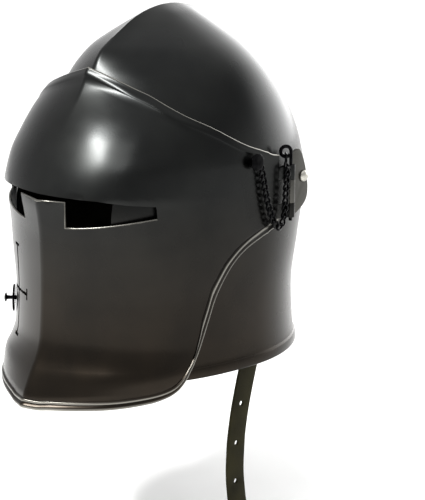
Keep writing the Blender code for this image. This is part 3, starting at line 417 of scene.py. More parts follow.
# %% Shape the bowl
COLUMNS = 34
CROWN_START, CROWN_SPAN = 0.6, 0.25
FRONT_FULLNESS, BACK_FULLNESS = 0.62, 0.54


def bowl_ring(walk, columns, rise=0.0, depth=0.0):
    """The bowl's left half at one section, from the front's median plane round to the back's."""
    step, end = 1e-5, bowl_table[-1, 0]
    low, high = smooth_table(bowl_table, max(walk - step, 0)), smooth_table(bowl_table, min(walk + step, end))
    _, z, front, back, half, lean = smooth_table(bowl_table, walk)
    normals = []
    for column in (2, 4, 3):
        run = Vector((high[column] - low[column], high[1] - low[1])).normalized()
        normals.append((run[1], -run[0]))
    front += rise - depth * normals[0][0]
    half = max(half + rise - depth * normals[1][0], 0)
    back += rise - depth * normals[2][0]
    crown = min(max((z / BOWL_HEIGHT - CROWN_START) / CROWN_SPAN, 0), 1)
    ring = []
    for i in range(2 * columns + 1):
        facing = i <= columns
        t = i / columns if facing else 2 - i / columns
        fullness = FRONT_FULLNESS - 0.10 * crown if facing else BACK_FULLNESS - 0.02 * crown
        x, y = quarter(max(front if facing else back, 0), half, lean, fullness, fullness, t)
        end_lift = normals[0 if facing else 2][1]
        lift = end_lift + (normals[1][1] - end_lift) * t
        ring.append((x, -y if facing else y, z - BOWL_HEIGHT + WALL - depth * lift))
    return ring


def grid_form(rows, wear_and_highlight=()):
    """A grid bent onto the given rows of places; some columns painted lighter, as wear and painted highlight.
    """
    form = bmesh.new()
    wear_and_highlight_layer = form.verts.layers.float.new("wear_and_highlight")
    columns = len(rows[0])
    bmesh.ops.create_grid(form, x_segments=columns - 1, y_segments=len(rows) - 1, size=1.0)
    form.verts.ensure_lookup_table()
    for vert in form.verts:
        vert.co = rows[vert.index // columns][vert.index % columns]
        if wear_and_highlight:
            vert[wear_and_highlight_layer] = wear_and_highlight[vert.index % columns]
    bmesh.ops.remove_doubles(form, verts=form.verts, dist=2e-6)
    bmesh.ops.dissolve_degenerate(form, edges=form.edges, dist=1e-6)
    return form


def whole_from_half(form):
    """Mirror a left half across the median plane and point its faces outwards."""
    for vert in form.verts:
        if abs(vert.co.x) < 5e-5:
            vert.co.x = 0
    bmesh.ops.mirror(form, geom=form.verts[:] + form.edges[:] + form.faces[:], axis="X", merge_dist=1e-5)
    clean(form, 2e-6)
    return form


# The turned rim is a low band: each row gives a walk up from the rim and a share of the band's rise.
BAND_RISE = 0.0012
band = ((0.0, 0.35), (0.0004, 0.75), (0.0010, 1.0), (0.0040, 1.0), (0.0074, 1.0), (0.0080, 0.85),
        (0.0085, 0.45), (0.0089, 0.1), (0.0094, 0.0))
climb = list(np.linspace(0.0125, walked[-1], 84))
outside = [bowl_ring(w, COLUMNS, rise=BAND_RISE * share) for w, share in band]
outside += [bowl_ring(w, COLUMNS) for w in climb]
crown_inside = [(0.0, 0.0, 0.0)] * (2 * COLUMNS + 1)
inside = [bowl_ring(w, COLUMNS, depth=WALL) for w in [0.0] + climb[:-2:2]]
bowl_form = whole_from_half(grid_form(outside + [crown_inside] + inside[::-1] + outside[:1]))
print("bowl closed:", all(len(edge.link_faces) == 2 for edge in bowl_form.edges))
bowl_mesh = to_mesh(bowl_form)

# %% [markdown]
# ## Flat work
#
# The arms, straps and cutters are flat outlines given a thickness. A filled 2D curve does that, and its
# own bevel rounds the edges as a file or an edge slicker does. The outline is drawn as seen from the
# front, the side or above, and a matrix stands it up.

# %% Flat work helpers
FRONT_VIEW = Matrix(((1, 0, 0, 0), (0, 0, -1, 0), (0, 1, 0, 0), (0, 0, 0, 1)))
SIDE_VIEW = Matrix(((0, 0, 1, 0), (1, 0, 0, 0), (0, 1, 0, 0), (0, 0, 0, 1)))
PLAN_VIEW = Matrix.Identity(4)


def add_run(curve, points, cyclic):
    """Add a run of straight pieces through the points to a curve."""
    spline = curve.splines.new("POLY")
    spline.points.add(len(points) - 1)
    for point, place in zip(spline.points, points):
        point.co = (*place, 1)
    spline.use_cyclic_u = cyclic


def flat_work(outlines, low, high, view, rounding=0.0):
    """Flat outlines, holes among them, from low to high along the view's depth."""
    curve = bpy.data.curves.new("outline", "CURVE")
    curve.dimensions, curve.fill_mode = "2D", "BOTH"
    curve.extrude = (high - low) / 2 - rounding
    curve.bevel_depth, curve.offset, curve.bevel_resolution = rounding, -rounding, 2
    for outline in outlines:
        add_run(curve, [(a, b, 0) for a, b in outline], True)
    return curve_mesh(curve, view @ Matrix.Translation((0, 0, (high + low) / 2)))


def curve_mesh(curve, place=None):
    """A curve as one closed mesh, put in its place."""
    holder = add_object("curve", curve)
    bpy.context.view_layer.update()
    mesh = bpy.data.meshes.new_from_object(holder.evaluated_get(bpy.context.evaluated_depsgraph_get()))
    bpy.data.objects.remove(holder)
    form = bmesh.new()
    form.from_mesh(mesh)
    clean(form, 1e-6)
    mesh = to_mesh(form)
    if place:
        mesh.transform(place)
    return mesh


def wire(points, radius, cyclic=False, resolution=3):
    """Round wire through a row of points."""
    curve = bpy.data.curves.new("wire", "CURVE")
    curve.dimensions, curve.bevel_depth, curve.bevel_resolution = "3D", radius, resolution
    curve.use_fill_caps = True
    add_run(curve, points, cyclic)
    return curve_mesh(curve)


def circle(centre, radius, steps=32, start=0.0, turn=2 * pi):
    """Points round a circle; a full turn leaves its last point out."""
    count = steps if turn == 2 * pi else steps + 1
    angles = [start + turn * i / steps for i in range(count)]
    return [(centre[0] + radius * cos(a), centre[1] + radius * sin(a)) for a in angles]


def mirror_outline(points):
    """An outline from the median plane out and back to it, closed by its mirror image."""
    return list(points) + [(-x, y) for x, y in reversed(points) if x > 1e-9]


print("flat work ready")

# %% [markdown]
# ## The face opening
#
# Behind the face plate the bowl is cut away in a plain arch, so that the wearer can see and breathe when
# the plate is up. A cutter of the arch's outline takes it out of both walls at once.

# %% Cut the face opening
CUTTER_END = 0.20
rim = WALL - BOWL_HEIGHT
opening_half, opening_top, arch, splay, foot_rise = 0.057, rim + 0.1875, 0.045, 0.012, 0.030
arc = circle((opening_half - arch, opening_top - arch), arch, 20, pi / 2, -pi / 2)
foot = [(opening_half, rim + foot_rise), (opening_half + 0.3 * splay, rim + 0.47 * foot_rise),
        (opening_half + splay, rim + 0.1 * foot_rise), (opening_half + splay, rim - foot_rise)]
face_opening = flat_work([mirror_outline([(0, opening_top)] + arc + foot + [(0, rim - foot_rise)])],
                         0.03, CUTTER_END, FRONT_VIEW)
finish_piece("dressed_skull", baked(bowl_mesh, face_opening), black_steel, "helmet", ["skull"], 40)

# %% [markdown]
# ## The face plate's form
#
# The plate is a second raised sheet. It follows the bowl at the temples, stands out to a ridge at the nose
# and flares over the chin. Its sections are read from a table too. A second table gives the heights of its
# lower and upper edges round the plan: the lower edge sweeps up behind the jaw in an S to the hinge.

# %% Sections and edges of the plate
PLATE_HALF_WIDTH, PLATE_BACK = BOWL_HALF_WIDTH + 0.0041 + WALL, 0.0126
PLATE_REACH = BOWL_FRONT_REACH + 0.0062 + WALL
PLATE_SECTIONS = np.array((
    (-0.085, 1.155, 0.830, 20, 0.72),
    (-0.042, 1.128, 0.900, 17, 0.73),
    (-0.008, 1.098, 0.935, 15, 0.73),
    (0.028, 1.063, 0.955, 13, 0.73),
    (0.062, 1.026, 0.958, 12, 0.69),
    (0.108, 0.998, 0.955, 11.5, 0.665),
    (0.222, 0.980, 0.960, 11, 0.665),
    (0.306, 0.975, 0.983, 11, 0.685),
    (0.392, 0.976, 0.998, 11, 0.695),
    (0.449, 0.986, 1.000, 11, 0.70),
    (0.5025, 1.000, 1.000, 11, 0.70),
    (0.519, 0.982, 1.000, 3, 0.70),
    (0.593, 0.908, 1.000, 0, 0.70),
    (0.659, 0.836, 0.965, 0, 0.68),
    (0.710, 0.772, 0.922, 1, 0.67),
    (0.760, 0.704, 0.863, 5, 0.66),
    (0.796, 0.662, 0.803, 10, 0.66),
    (0.840, 0.625, 0.717, 16, 0.66),
    (0.860, 0.608, 0.675, 18, 0.66),
))
PLATE_EDGES = np.array((
    (0.00, -0.0625, 0.8430),
    (0.06, -0.0635, 0.8345),
    (0.12, -0.0590, 0.8260),
    (0.20, -0.0550, 0.8140),
    (0.30, -0.0500, 0.7980),
    (0.40, -0.0458, 0.7820),
    (0.52, -0.0390, 0.7550),
    (0.60, -0.0333, 0.7360),
    (0.66, -0.0232, 0.7220),
    (0.69, -0.0075, 0.7150),
    (0.71, 0.0240, 0.7100),
    (0.725, 0.0720, 0.7060),
    (0.745, 0.120, 0.7010),
    (0.77, 0.176, 0.6930),
    (0.79, 0.222, 0.6870),
    (0.82, 0.272, 0.6760),
    (0.85, 0.310, 0.6650),
    (0.89, 0.344, 0.6500),
    (0.93, 0.366, 0.6360),
    (0.97, 0.381, 0.6240),
    (1.00, 0.390, 0.6150),
    (1.50, 0.400, 0.6040),
    (2.00, 0.406, 0.6000),
))


# The front half of the plate is about this many times as far round as it reaches forward.
GIRTH_SHARE = 1.25


def height_of(share):
    """The height of a share of the bowl above its rim."""
    return (share - 1) * BOWL_HEIGHT + WALL


def plate_point(u, z, rise=0.0):
    """A point of the plate's outer face at a plan share and a height."""
    _, reach, half, lean, fullness = smooth_table(PLATE_SECTIONS, (z - WALL) / BOWL_HEIGHT + 1)
    x, y = quarter(reach * PLATE_REACH, half * PLATE_HALF_WIDTH, lean, fullness, fullness, min(u, 1.0))
    place = np.array((x, -y + max(u - 1.0, 0) * PLATE_BACK, z))
    return place + rise * plate_normal(u, z) if rise else place


def plate_normal(u, z):
    """The plate's outward direction; on the ridge it lies in the median plane."""
    du, dz = 1e-3, 1e-4
    along = plate_point(min(u + du, 2.0), z) - plate_point(max(u - du, 0.0), z)
    out = np.cross(along, plate_point(u, z + dz) - plate_point(u, z - dz))
    out = out / np.linalg.norm(out)
    if u == 0:
        lean = out[0]
        out[0] = 0
        out = out / (1 - lean**2)
    return out


def plate_edges(count):
    """Plan shares spread evenly along the lower edge, with both edges' heights at each."""
    girth = GIRTH_SHARE * PLATE_REACH
    share = PLATE_EDGES[:, 0]
    run = np.where(share <= 1, share * girth, girth + (share - 1) * PLATE_BACK)
    along = np.hypot(np.diff(run), np.diff(PLATE_EDGES[:, 1]) * BOWL_HEIGHT)
    keyed = np.column_stack([np.append(0, np.cumsum(along)), PLATE_EDGES])
    rows = [smooth_table(keyed, s)[1:] for s in np.linspace(0, keyed[-1, 0], count)]
    return [(u, height_of(low), height_of(high)) for u, low, high in rows]


print("ridge at the sights in mm:", [round(1000 * c) for c in plate_point(0.0, height_of(0.5))])

# %% [markdown]
# ## The face plate's surface
#
# The lower edge is rolled over a wire into a bead, and a low border, stepped down from it, stiffens the
# plate. So each plan share gets one closed section: the bead, the border, the outer face, the upper border
# and edge, then the inner face back down. The sections are the rows of one grid, and the mirror closes it.

# %% Shape the plate
BOTTOM_BEAD, EDGE_BEAD = 0.0022, 0.0013
BORDER_WIDTH, BORDER_STEP, BORDER_RISE = 0.0050, 0.0015, 0.0012
TAPER_START, TAPER_SPAN = 0.6, 0.12


def edge_arc(place, out, inward, radius, angles):
    """Points round a rounded edge of the plate."""
    centre = place - out * WALL / 2
    return [centre + radius * (cos(radians(a)) * out - sin(radians(a)) * inward) for a in angles]


def plate_section(edges, lows, highs, i):
    """The plate's closed section at one plan share."""
    u, low, high = edges[i]
    before, after = max(i - 1, 0), min(i + 1, len(edges) - 1)
    low_run, high_run = lows[after] - lows[before], highs[after] - highs[before]
    if i == 0:
        low_run = high_run = np.array((1.0, 0, 0))
    steep = np.linalg.norm(low_run) / max(np.hypot(low_run[0], low_run[1]), 1e-6)
    fade = float(np.clip((1.0 - u) / TAPER_SPAN, 0, 1))
    low_out, high_out = plate_normal(u, low), plate_normal(u, high)
    low_in, high_in = np.cross(low_out, low_run), np.cross(high_run, high_out)
    low_in, high_in = low_in / np.linalg.norm(low_in), high_in / np.linalg.norm(high_in)
    if i == 0:
        low_in[0] = high_in[0] = 0
    bead = BOTTOM_BEAD + (EDGE_BEAD - BOTTOM_BEAD) * min(max((u - TAPER_START) / TAPER_SPAN, 0), 1)
    bottom = edge_arc(lows[i], low_out, low_in, bead, np.linspace(205, -25, 13))
    top = edge_arc(highs[i], high_out, high_in, EDGE_BEAD, np.linspace(-25, 205, 9))
    rise = BORDER_RISE * fade
    border = low + BORDER_WIDTH * steep
    floor = border + BORDER_STEP * steep
    upper = high - BORDER_WIDTH * (0.5 + 0.5 * fade)
    roof = upper - BORDER_STEP
    face = [(low + (border - low) * s, rise * r)
            for s, r in ((0.50, -0.1), (0.60, 0.5), (0.70, 0.85), (0.82, 1.0), (0.94, 0.95))]
    face += [(border + (floor - border) * s, rise * r)
             for s, r in ((0.0, 0.8), (0.25, 0.5), (0.5, 0.1), (0.7, -0.15), (0.85, -0.1))]
    face += [(floor + (roof - floor) * s, 0.0) for s in np.linspace(0, 1, 56)]
    face += [(roof + (upper - roof) * s, 0.5 * rise * s) for s in (0.4, 0.7, 1.0)]
    face += [(upper + 0.5 * (high - upper), 0.5 * rise)]
    outer = [plate_point(u, z, r) for z, r in face]
    inner = [plate_point(u, z, -WALL) for z, _ in face[::-2]]
    return bottom + outer + top + inner + bottom[:1]


edges = plate_edges(110)
lows = [plate_point(u, low) for u, low, _ in edges]
highs = [plate_point(u, high) for u, _, high in edges]
sections = [plate_section(edges, lows, highs, i) for i in range(len(edges))]
for place in sections[0]:
    place[0] = 0

# Columns painted lighter, as wear and painted highlight: the bead and the border's crest come first,
# and the middle of the top edge's round later.
BEAD_WEAR_AND_HIGHLIGHT = (0, 0, 0, 0.2, 0.5, 0.8, 1, 1, 0.9, 0.7, 0.4, 0.2, 0, 0, 0.1, 0.4, 0.6, 0.4, 0.1)
TOP_EDGE = range(85, 90)
plate_wear_and_highlight = [0.75 * share for share in BEAD_WEAR_AND_HIGHLIGHT] + [0.0] * (len(sections[0]) - len(BEAD_WEAR_AND_HIGHLIGHT))
for k in TOP_EDGE:
    plate_wear_and_highlight[k] = 0.55
plate_form = grid_form(sections, plate_wear_and_highlight)
rear = [e for e in plate_form.edges if e.is_boundary and min(v.co.y for v in e.verts) > PLATE_BACK - 1e-4]
bmesh.ops.holes_fill(plate_form, edges=rear, sides=0)
plate_form = whole_from_half(plate_form)
print("plate closed:", all(len(edge.link_faces) == 2 for edge in plate_form.edges))
plate_mesh = to_mesh(plate_form)

# %% [markdown]
# ## Sights and breath
#
# The sights are one slit over a nasal tongue, and the breath is a cross with a short bar over each end,
# on the wearer's right only. Each was pierced and filed square to the front, so its cutter runs straight
# back. The lift peg and the chain posts are set square to the plate.

# %% Pierce the plate
sight_half, tongue_half, tongue_spread = 0.0875, 0.0235, 0.0024
sight_top = height_of(0.5203)
sight_low, end_top = sight_top - 0.0250, sight_top - 0.0038
end_low, tongue_top = end_top - 0.0104, sight_top - 0.0040
run = sight_half - tongue_half
sweep = [(tongue_half + s * run, sight_low + s**1.5 * (end_low - sight_low)) for s in np.linspace(1, 0, 9)]
tongue = [(tongue_half + tongue_spread, tongue_top), (0, tongue_top - 0.0012)]
upper = [(0, sight_top), (0.6 * sight_half, sight_top), (sight_half, end_top)]
sights = mirror_outline(upper + sweep + tongue)

BREATH_SIDE, BREATH_DROP = 0.047, 0.0881
slot, bar, tall, wide = 0.0026 / 2, 0.0095 / 2, 0.0775 / 2, 0.042 / 2
neck, shoulder = tall - 2 * slot, wide - 2 * slot
half_cross = [(slot, slot), (slot, neck), (bar, neck), (bar, tall), (-bar, tall), (-bar, neck), (-slot, neck),
              (-slot, slot), (-shoulder, slot), (-shoulder, bar), (-wide, bar), (-wide, -bar),
              (-shoulder, -bar), (-shoulder, -slot)]
cross = half_cross + [(-x, -z) for x, z in half_cross]
breath = [(x - BREATH_SIDE, z + sight_top - BREATH_DROP) for x, z in cross]


def plate_place(x, z):
    """The plate's point and outward direction at a distance left of centre and a height."""
    shares = np.linspace(0, 1, 201)
    u = float(np.interp(x, [plate_point(s, z)[0] for s in shares], shares))
    return Vector(plate_point(u, z)), Vector(plate_normal(u, z))


def stand(place, out):
    """A frame whose Z axis points out of a surface."""
    return Matrix.Translation(place) @ out.to_track_quat("Z", "Y").to_matrix().to_4x4()


PEG_SIDE, PEG_DROP, POST_FORWARD = 0.070, 0.1036, 0.0175
peg_place, peg_out = plate_place(PEG_SIDE, sight_top - PEG_DROP)
flip = Vector((-1, 1, 1))
peg_frame = stand(peg_place * flip, peg_out * flip)
side_shares = np.linspace(0.5, 1.0, 201)
plate_corner = height_of(PLATE_EDGES[-1][2])
post_height = plate_corner - 0.0004
side_run = [plate_point(s, post_height)[1] for s in side_shares]
post_spot = (float(np.interp(-POST_FORWARD, side_run, side_shares)), post_height)
post_frame = stand(Vector(plate_point(*post_spot)), Vector(plate_normal(*post_spot)))

for outline, start in ((sights, 0.05), (breath, 0.06)):
    plate_mesh = baked(plate_mesh, flat_work([outline], start, CUTTER_END, FRONT_VIEW))
finish_piece("dressed_visor", plate_mesh, black_steel, "visor", ["visor"], 40)

# %% [markdown]
# ## The filed lip of the sights
#
# The sights' lower edge and the tongue's top are filed round, so that no edge cuts the cheek, and the round
# catches the light as one bright line. A wire laid in the middle of the wall, a little thicker than the
# wall, gives that round without touching the slit's shape. Its colour is painted a little lighter too, as a
# painted highlight along that line.

# %% Round the lip
lip_points = []
for x, z in sweep + tongue:
    place, out = plate_place(x, z)
    lip_points.append(place - out * WALL / 2)
lip_points += [point * flip for point in reversed(lip_points[:-1])]
LIP_RADIUS = 0.00104
# The lip's colour is painted lighter, as a painted highlight.
lip = painted_light_all_over(wire(lip_points, LIP_RADIUS), 0.28)
finish_piece("sight_lip", lip, black_steel, "visor", ["visor"], 60)

# %% [markdown]
# ## Hinges and pivot arms
#
# The plate can be taken off: three rolled knuckles at each side, two of them the plate's and one the
# arm's, share a loose pin. A knuckle is a strip curled round the pin, so its outline seen from above is a
# ring with a web, raised by its own height. The arm is a flat tapered plate that turns on a rivet.

# %% Make the knuckles and arms
SIDE_OUT = PLATE_HALF_WIDTH
CLEARANCE = 0.0003
BARREL_RADIUS, BARREL_BACK, BARREL_HEIGHT, BARREL_TOP = 0.0035, 0.0250, 0.043, plate_corner - 0.0082
PIN_RADIUS, PIN_RING_RADIUS, PIN_TAIL = 0.0015, 0.0042, 0.0035
BARREL_OUT = SIDE_OUT - WALL + CLEARANCE + BARREL_RADIUS
PIVOT_BACK, PIVOT_HEIGHT, SHANK, WEB_LAP = 0.0422, plate_corner - 0.0202, 0.003, 0.0025


def knuckle_outline(direction):
    """A rolled knuckle from above with the web to its plate: -1 runs forward, 1 back."""
    inner = BARREL_OUT - BARREL_RADIUS
    outer = inner + WALL - 2 * CLEARANCE
    reach = sqrt(BARREL_RADIUS**2 - (BARREL_OUT - outer)**2)
    arc = circle((0, 0), BARREL_RADIUS, 30, pi, asin(reach / BARREL_RADIUS) - 2 * pi)
    web = BARREL_BACK - PLATE_BACK + WEB_LAP
    outline = [(BARREL_OUT + x, BARREL_BACK - direction * y) for x, y in arc]
    outline += [(outer, BARREL_BACK + direction * web), (inner, BARREL_BACK + direction * web)]
    return [outline, circle((BARREL_OUT, BARREL_BACK), PIN_RADIUS + CLEARANCE, 20)]


outer_knuckle = 0.27 * BARREL_HEIGHT
barrel_low = BARREL_TOP - BARREL_HEIGHT
middle_span = (barrel_low + outer_knuckle + CLEARANCE, BARREL_TOP - outer_knuckle - CLEARANCE)
for end, low, high in (("upper", BARREL_TOP - outer_knuckle, BARREL_TOP),
                       ("lower", barrel_low, barrel_low + outer_knuckle)):
    knuckle = flat_work(knuckle_outline(-1), low, high, PLAN_VIEW, 0.0002)
    for side, mesh in (("left", knuckle), ("right", mirrored(knuckle))):
        finish_piece(f"visor_knuckle_{end}_{side}", mesh, black_steel, "visor", ["visor"])

arm_front = BARREL_BACK + BARREL_RADIUS + CLEARANCE
arm_length, arm_height, arm_top = 0.0194, 0.0552, BARREL_TOP + 0.0124
ARM_SHAPE = ((0.000, 0.063), (0.400, 0.000), (0.655, 0.130), (0.856, 0.335), (1.000, 0.598), (0.948, 0.775),
             (0.700, 0.882), (0.260, 0.978), (0.000, 1.000))


def eased(points):
    """An outline with every corner but its first and last taken off, as a file does."""
    soft = [points[0]]
    for before, at, after in zip(points, points[1:], points[2:]):
        soft += [tuple(np.array(at) * 0.78 + np.array(beside) * 0.22) for beside in (before, after)]
    return soft + [points[-1]]


arm = eased(eased([(arm_front + back * arm_length, arm_top - down * arm_height) for back, down in ARM_SHAPE]))
rivet_hole = circle((PIVOT_BACK, PIVOT_HEIGHT), SHANK + CLEARANCE)
arm_plate = flat_work([arm, rivet_hole], SIDE_OUT - WALL, SIDE_OUT, SIDE_VIEW, 0.0003)
arm_knuckle = flat_work(knuckle_outline(1), *middle_span, PLAN_VIEW, 0.0002)
# The arms are painted lighter all over, as painted light falling on them.
arm_mesh = painted_light_all_over(joined([arm_plate, arm_knuckle]), 0.12)
finish_pair("pivot_arm", arm_mesh, black_steel, "visor")

# %% [markdown]
# ## Turned pieces
#
# Rivets, posts, studs and the peg are turned or upset from rod. Half of the outline is drawn as a row of
# radii and heights and spun once round. The spin merges its own seam, and a small bevel gives the edges
# the soft shine of handled metal.

# %% Spin the rivets, posts, studs and peg
def turned(profile, place, rounding=0.0002, steps=40):
    """A profile of (radius, height) rows, top to bottom, spun round Z and put in its place."""
    form = bmesh.new()
    row = [form.verts.new((r, 0, z)) for r, z in profile]
    spine = [form.edges.new(pair) for pair in zip(row, row[1:])]
    bmesh.ops.spin(form, geom=row + spine, cent=(0, 0, 0), axis=(0, 0, 1), angle=2 * pi, steps=steps,
                   use_merge=True)
    clean(form, 1e-6)
    mesh = baked(to_mesh(form), rounding=rounding)
    mesh.transform(place)
    return mesh


def dome(radius, base, height, steps=9):
    """The rows of a shallow dome, from its top down to its rim."""
    return [(radius * sin(a), base + height * cos(a)) for a in np.linspace(0, 1.45, steps)]


side_face = Matrix.Rotation(pi / 2, 4, "Y")
pivot_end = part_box("pivot_rivet_left")[0].x
arm_in, arm_out = SIDE_OUT - WALL - CLEARANCE, SIDE_OUT + CLEARANCE
collar_low, RIVET_RADIUS, COLLAR_RADIUS = 0.1002, 0.0047, 0.0055
pivot = dome(RIVET_RADIUS, arm_out, 0.003)
pivot += [(RIVET_RADIUS, arm_out), (SHANK, arm_out), (SHANK, arm_in), (COLLAR_RADIUS, arm_in),
          (COLLAR_RADIUS, collar_low), (SHANK, collar_low), (SHANK, pivot_end + WALL),
          (COLLAR_RADIUS, pivot_end + WALL), (COLLAR_RADIUS, pivot_end), (0, pivot_end)]
finish_pair("pivot_rivet", turned(pivot, Matrix.Translation((0, PIVOT_BACK, PIVOT_HEIGHT)) @ side_face),
            burnished, "helmet")

# A post and the peg pass through the plate and are clinched behind it, between these two heights.
CLINCH_TOP, CLINCH_END = -0.0026, -0.0036
POST_HEAD, POST_NECK, POST_FLANGE = 0.0068, 0.001, 0.0030
head_low, flange = 0.0047, 0.0011
post = dome(POST_HEAD, head_low + 0.0008, 0.0005)
post += [(POST_HEAD, head_low), (POST_NECK, head_low), (POST_NECK, flange), (POST_FLANGE, flange),
         (POST_FLANGE, flange - 0.0007), (POST_NECK, flange - 0.0007), (POST_NECK, CLINCH_TOP),
         (0.002, CLINCH_TOP), (0.002, CLINCH_END), (0, CLINCH_END)]
finish_pair("chain_post", turned(post, post_frame, 0.00012), black_wire, "visor")

peg = dome(0.0042, 0.0084, 0.0021)
peg += [(0.0018, 0.0080), (0.0016, 0.0050), (0.0018, 0.0022), (0.0018, CLINCH_TOP), (0.0036, CLINCH_TOP),
        (0.0036, CLINCH_END), (0, CLINCH_END)]
finish_piece("dressed_lift_peg", turned(peg, peg_frame), black_wire, "visor", ["lift_peg"])
BORE, BRIM, base = 0.0021, 0.0115, 0.0014
washer = [(BORE, base + 0.0015), (BRIM, base + 0.0015), (BRIM, base), (BORE, base), (BORE, base + 0.0015)]
finish_piece("dressed_lift_peg_washer", turned(washer, peg_frame, 0.0003), black_wire, "visor",
             ["lift_peg_washer"])

# %% [markdown]
# ## The hinge pins
#
# Each hinge pin is a wire whose top is turned into a ring, so that a finger can draw it, and a chain keeps
# it from being lost. One wire is bent through the points of the stem and the ring.

# %% Bend the pins
END_LENGTH, END_WIDTH, CHAIN_WIRE = 0.0114, 0.0074, 0.0008
LINK_LENGTH, LINK_WIDTH, LINK_TWIST, RING_LIFT = 0.0092, 0.0064, 42.0, 0.0022


def hold(length):
    """How far the solid model's link runs from its middle to its end wire."""
    return (length / 2 - CHAIN_WIRE) * cos(pi / 8)


up, facing = Vector((0, 0, 1)), Vector((1, -1, 0)).normalized()
drop = hold(END_LENGTH) - PIN_RADIUS - CLEARANCE + END_WIDTH / 2 - 2 * CHAIN_WIRE
offset = PIN_RING_RADIUS * sqrt(0.5)
ring_low = Vector((BARREL_OUT - offset, BARREL_BACK - offset,
                   BARREL_TOP + drop * sqrt(0.5) + CHAIN_WIRE + RING_LIFT))
ring_centre = ring_low + Vector((0, 0, PIN_RING_RADIUS))
across = Vector((BARREL_OUT, BARREL_BACK, ring_centre.z)) - ring_centre
across.normalize()
ring_angles = np.linspace(0, radians(332), 48)
ring = [ring_centre + PIN_RING_RADIUS * (across * cos(a) + up * sin(a)) for a in ring_angles]
tail = Vector((BARREL_OUT, BARREL_BACK, BARREL_TOP - BARREL_HEIGHT - PIN_TAIL))
pin = wire([tail + Vector((0, 0, 0.0006))] + ring, PIN_RADIUS)
finish_pair("hinge_pin", pin, black_wire, "visor")

# %% [markdown]
# ### The chains
#
# This is curb chain: every link is an oval twisted along its length, so that the run lies flat. Each link
# is one closed wire, placed along a smooth line from the post down and up again to the ring. The line's
# length over a link's pitch gives their count.

# %% Lay the chains
CHAIN_DROP, CHAIN_STANDOFF = 0.0555, 0.0058
CHAIN_FALL = (
    (0.45, -0.042, -0.016),
    (0.48, 0.090, 0.030),
    (0.51, 0.145, 0.120),
    (0.56, 0.190, 0.250),
    (0.62, 0.235, 0.430),
    (0.69, 0.295, 0.612),
    (0.80, 0.365, 0.783),
    (0.93, 0.463, 0.937),
    (1.00, 0.583, 1.000),
    (0.97, 0.680, 0.935),
    (0.92, 0.732, 0.812),
    (0.90, 0.755, 0.668),
    (0.90, 0.770, 0.497),
    (0.96, 0.780, 0.330),
    (0.98, 0.795, 0.225),
)


def link(centre, along, side, length, width, twist):
    """One oval of wire, twisted about its length."""
    face_on = along.cross(side)
    points = []
    for a in np.linspace(0, 2 * pi, 20, endpoint=False):
        p, q = (length / 2 - CHAIN_WIRE) * cos(a), (width / 2 - CHAIN_WIRE) * sin(a)
        turn = radians(twist) * 2 * p / length
        points.append(centre + along * p + (side * cos(turn) + face_on * sin(turn)) * q)
    return wire(points, 1.15 * CHAIN_WIRE, cyclic=True, resolution=2)


end_run, end_side = (facing - up).normalized(), (facing + up).normalized()
end_middle = ring_low + end_run * (hold(END_LENGTH) - CHAIN_WIRE - PIN_RADIUS - CLEARANCE)
end_far = end_middle + end_run * (hold(END_LENGTH) - CHAIN_WIRE + 0.0001)
post_at = post_frame.translation
reach = BARREL_BACK - post_at.y
fall = np.array([(SIDE_OUT + out * CHAIN_STANDOFF, post_at.y + back * reach, post_at.z - down * CHAIN_DROP)
                 for out, back, down in CHAIN_FALL] + [tuple(end_far)])
fall_walk = walked_along(fall)
fall_table = np.column_stack([fall_walk, fall])
route = [Vector(smooth_table(fall_table, s)[1:]) for s in np.linspace(0, fall_walk[-1], 200)]
route_walk = np.append(0, np.cumsum([(b - a).length for a, b in zip(route, route[1:])]))
pitch = 2 * (hold(LINK_LENGTH) - CHAIN_WIRE) + 0.0002
count = round(route_walk[-1] / pitch)
links = []
for i in range(count):
    k = int(np.clip(np.searchsorted(route_walk, (i + 0.5) * route_walk[-1] / count), 1, len(route) - 1))
    along = (route[min(k + 3, len(route) - 1)] - route[max(k - 3, 0)]).normalized()
    side = Vector((1, 0, 0)).cross(along).normalized()
    links.append(link(route[k], along, side, LINK_LENGTH, LINK_WIDTH, LINK_TWIST if i else 0))
links.append(link(end_middle, end_run, end_side, END_LENGTH, END_WIDTH, 0))
finish_pair("chain", joined(links), black_wire, "visor", 60)
print("links in each chain:", len(links))

# %% [markdown]
# ## The straps
#
# A saddler cuts each strap from a side of leather, slicks its edges round and punches its holes. The long
# strap hangs from a stud inside the rim and keeps a lazy bend. It is drawn as a ribbon round its middle
# line, seen from the side.

# %% Cut the straps
STRAP_BACK, STUD_HEIGHT, STRAP_WIDTH, STRAP_THICKNESS = 0.015, rim + 0.0715, 0.020, 0.0024
STRAP_DROP, HOLE_COUNT, FIRST_HOLE, HOLE_PITCH, HOLE_RADIUS = 0.2020, 5, 0.0830, 0.0335, 0.0021
STRAP_FALL = ((0.000, -0.040), (0.000, 0.030), (0.015, 0.129), (0.045, 0.238), (0.082, 0.347), (0.116, 0.460),
              (0.144, 0.574), (0.161, 0.688), (0.166, 0.802), (0.156, 0.911), (0.141, 1.000))
strap_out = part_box("chin_strap")[1].x
strap_in = strap_out - STRAP_THICKNESS
places = np.array([(STRAP_BACK - forward * STRAP_DROP, STUD_HEIGHT - down * STRAP_DROP)
                   for forward, down in STRAP_FALL])
strap_walk = walked_along(places)
strap_table = np.column_stack([strap_walk, places])
line = [smooth_table(strap_table, s)[1:] for s in np.linspace(0, strap_walk[-1], 60)]


def ribbon(line, width):
    """A ribbon's outline round its middle line, its far end cut to a blunt point."""
    left, right = [], []
    for i, middle in enumerate(line):
        run = line[min(i + 1, len(line) - 1)] - line[max(i - 1, 0)]
        normal = np.array((-run[1], run[0])) / np.linalg.norm(run) * width / 2
        left.append(tuple(middle + normal))
        right.append(tuple(middle - normal))
    run = line[-1] - line[-2]
    tip = tuple(line[-1] + run / np.linalg.norm(run) * width * 0.35)
    return left + [tip] + right[::-1]


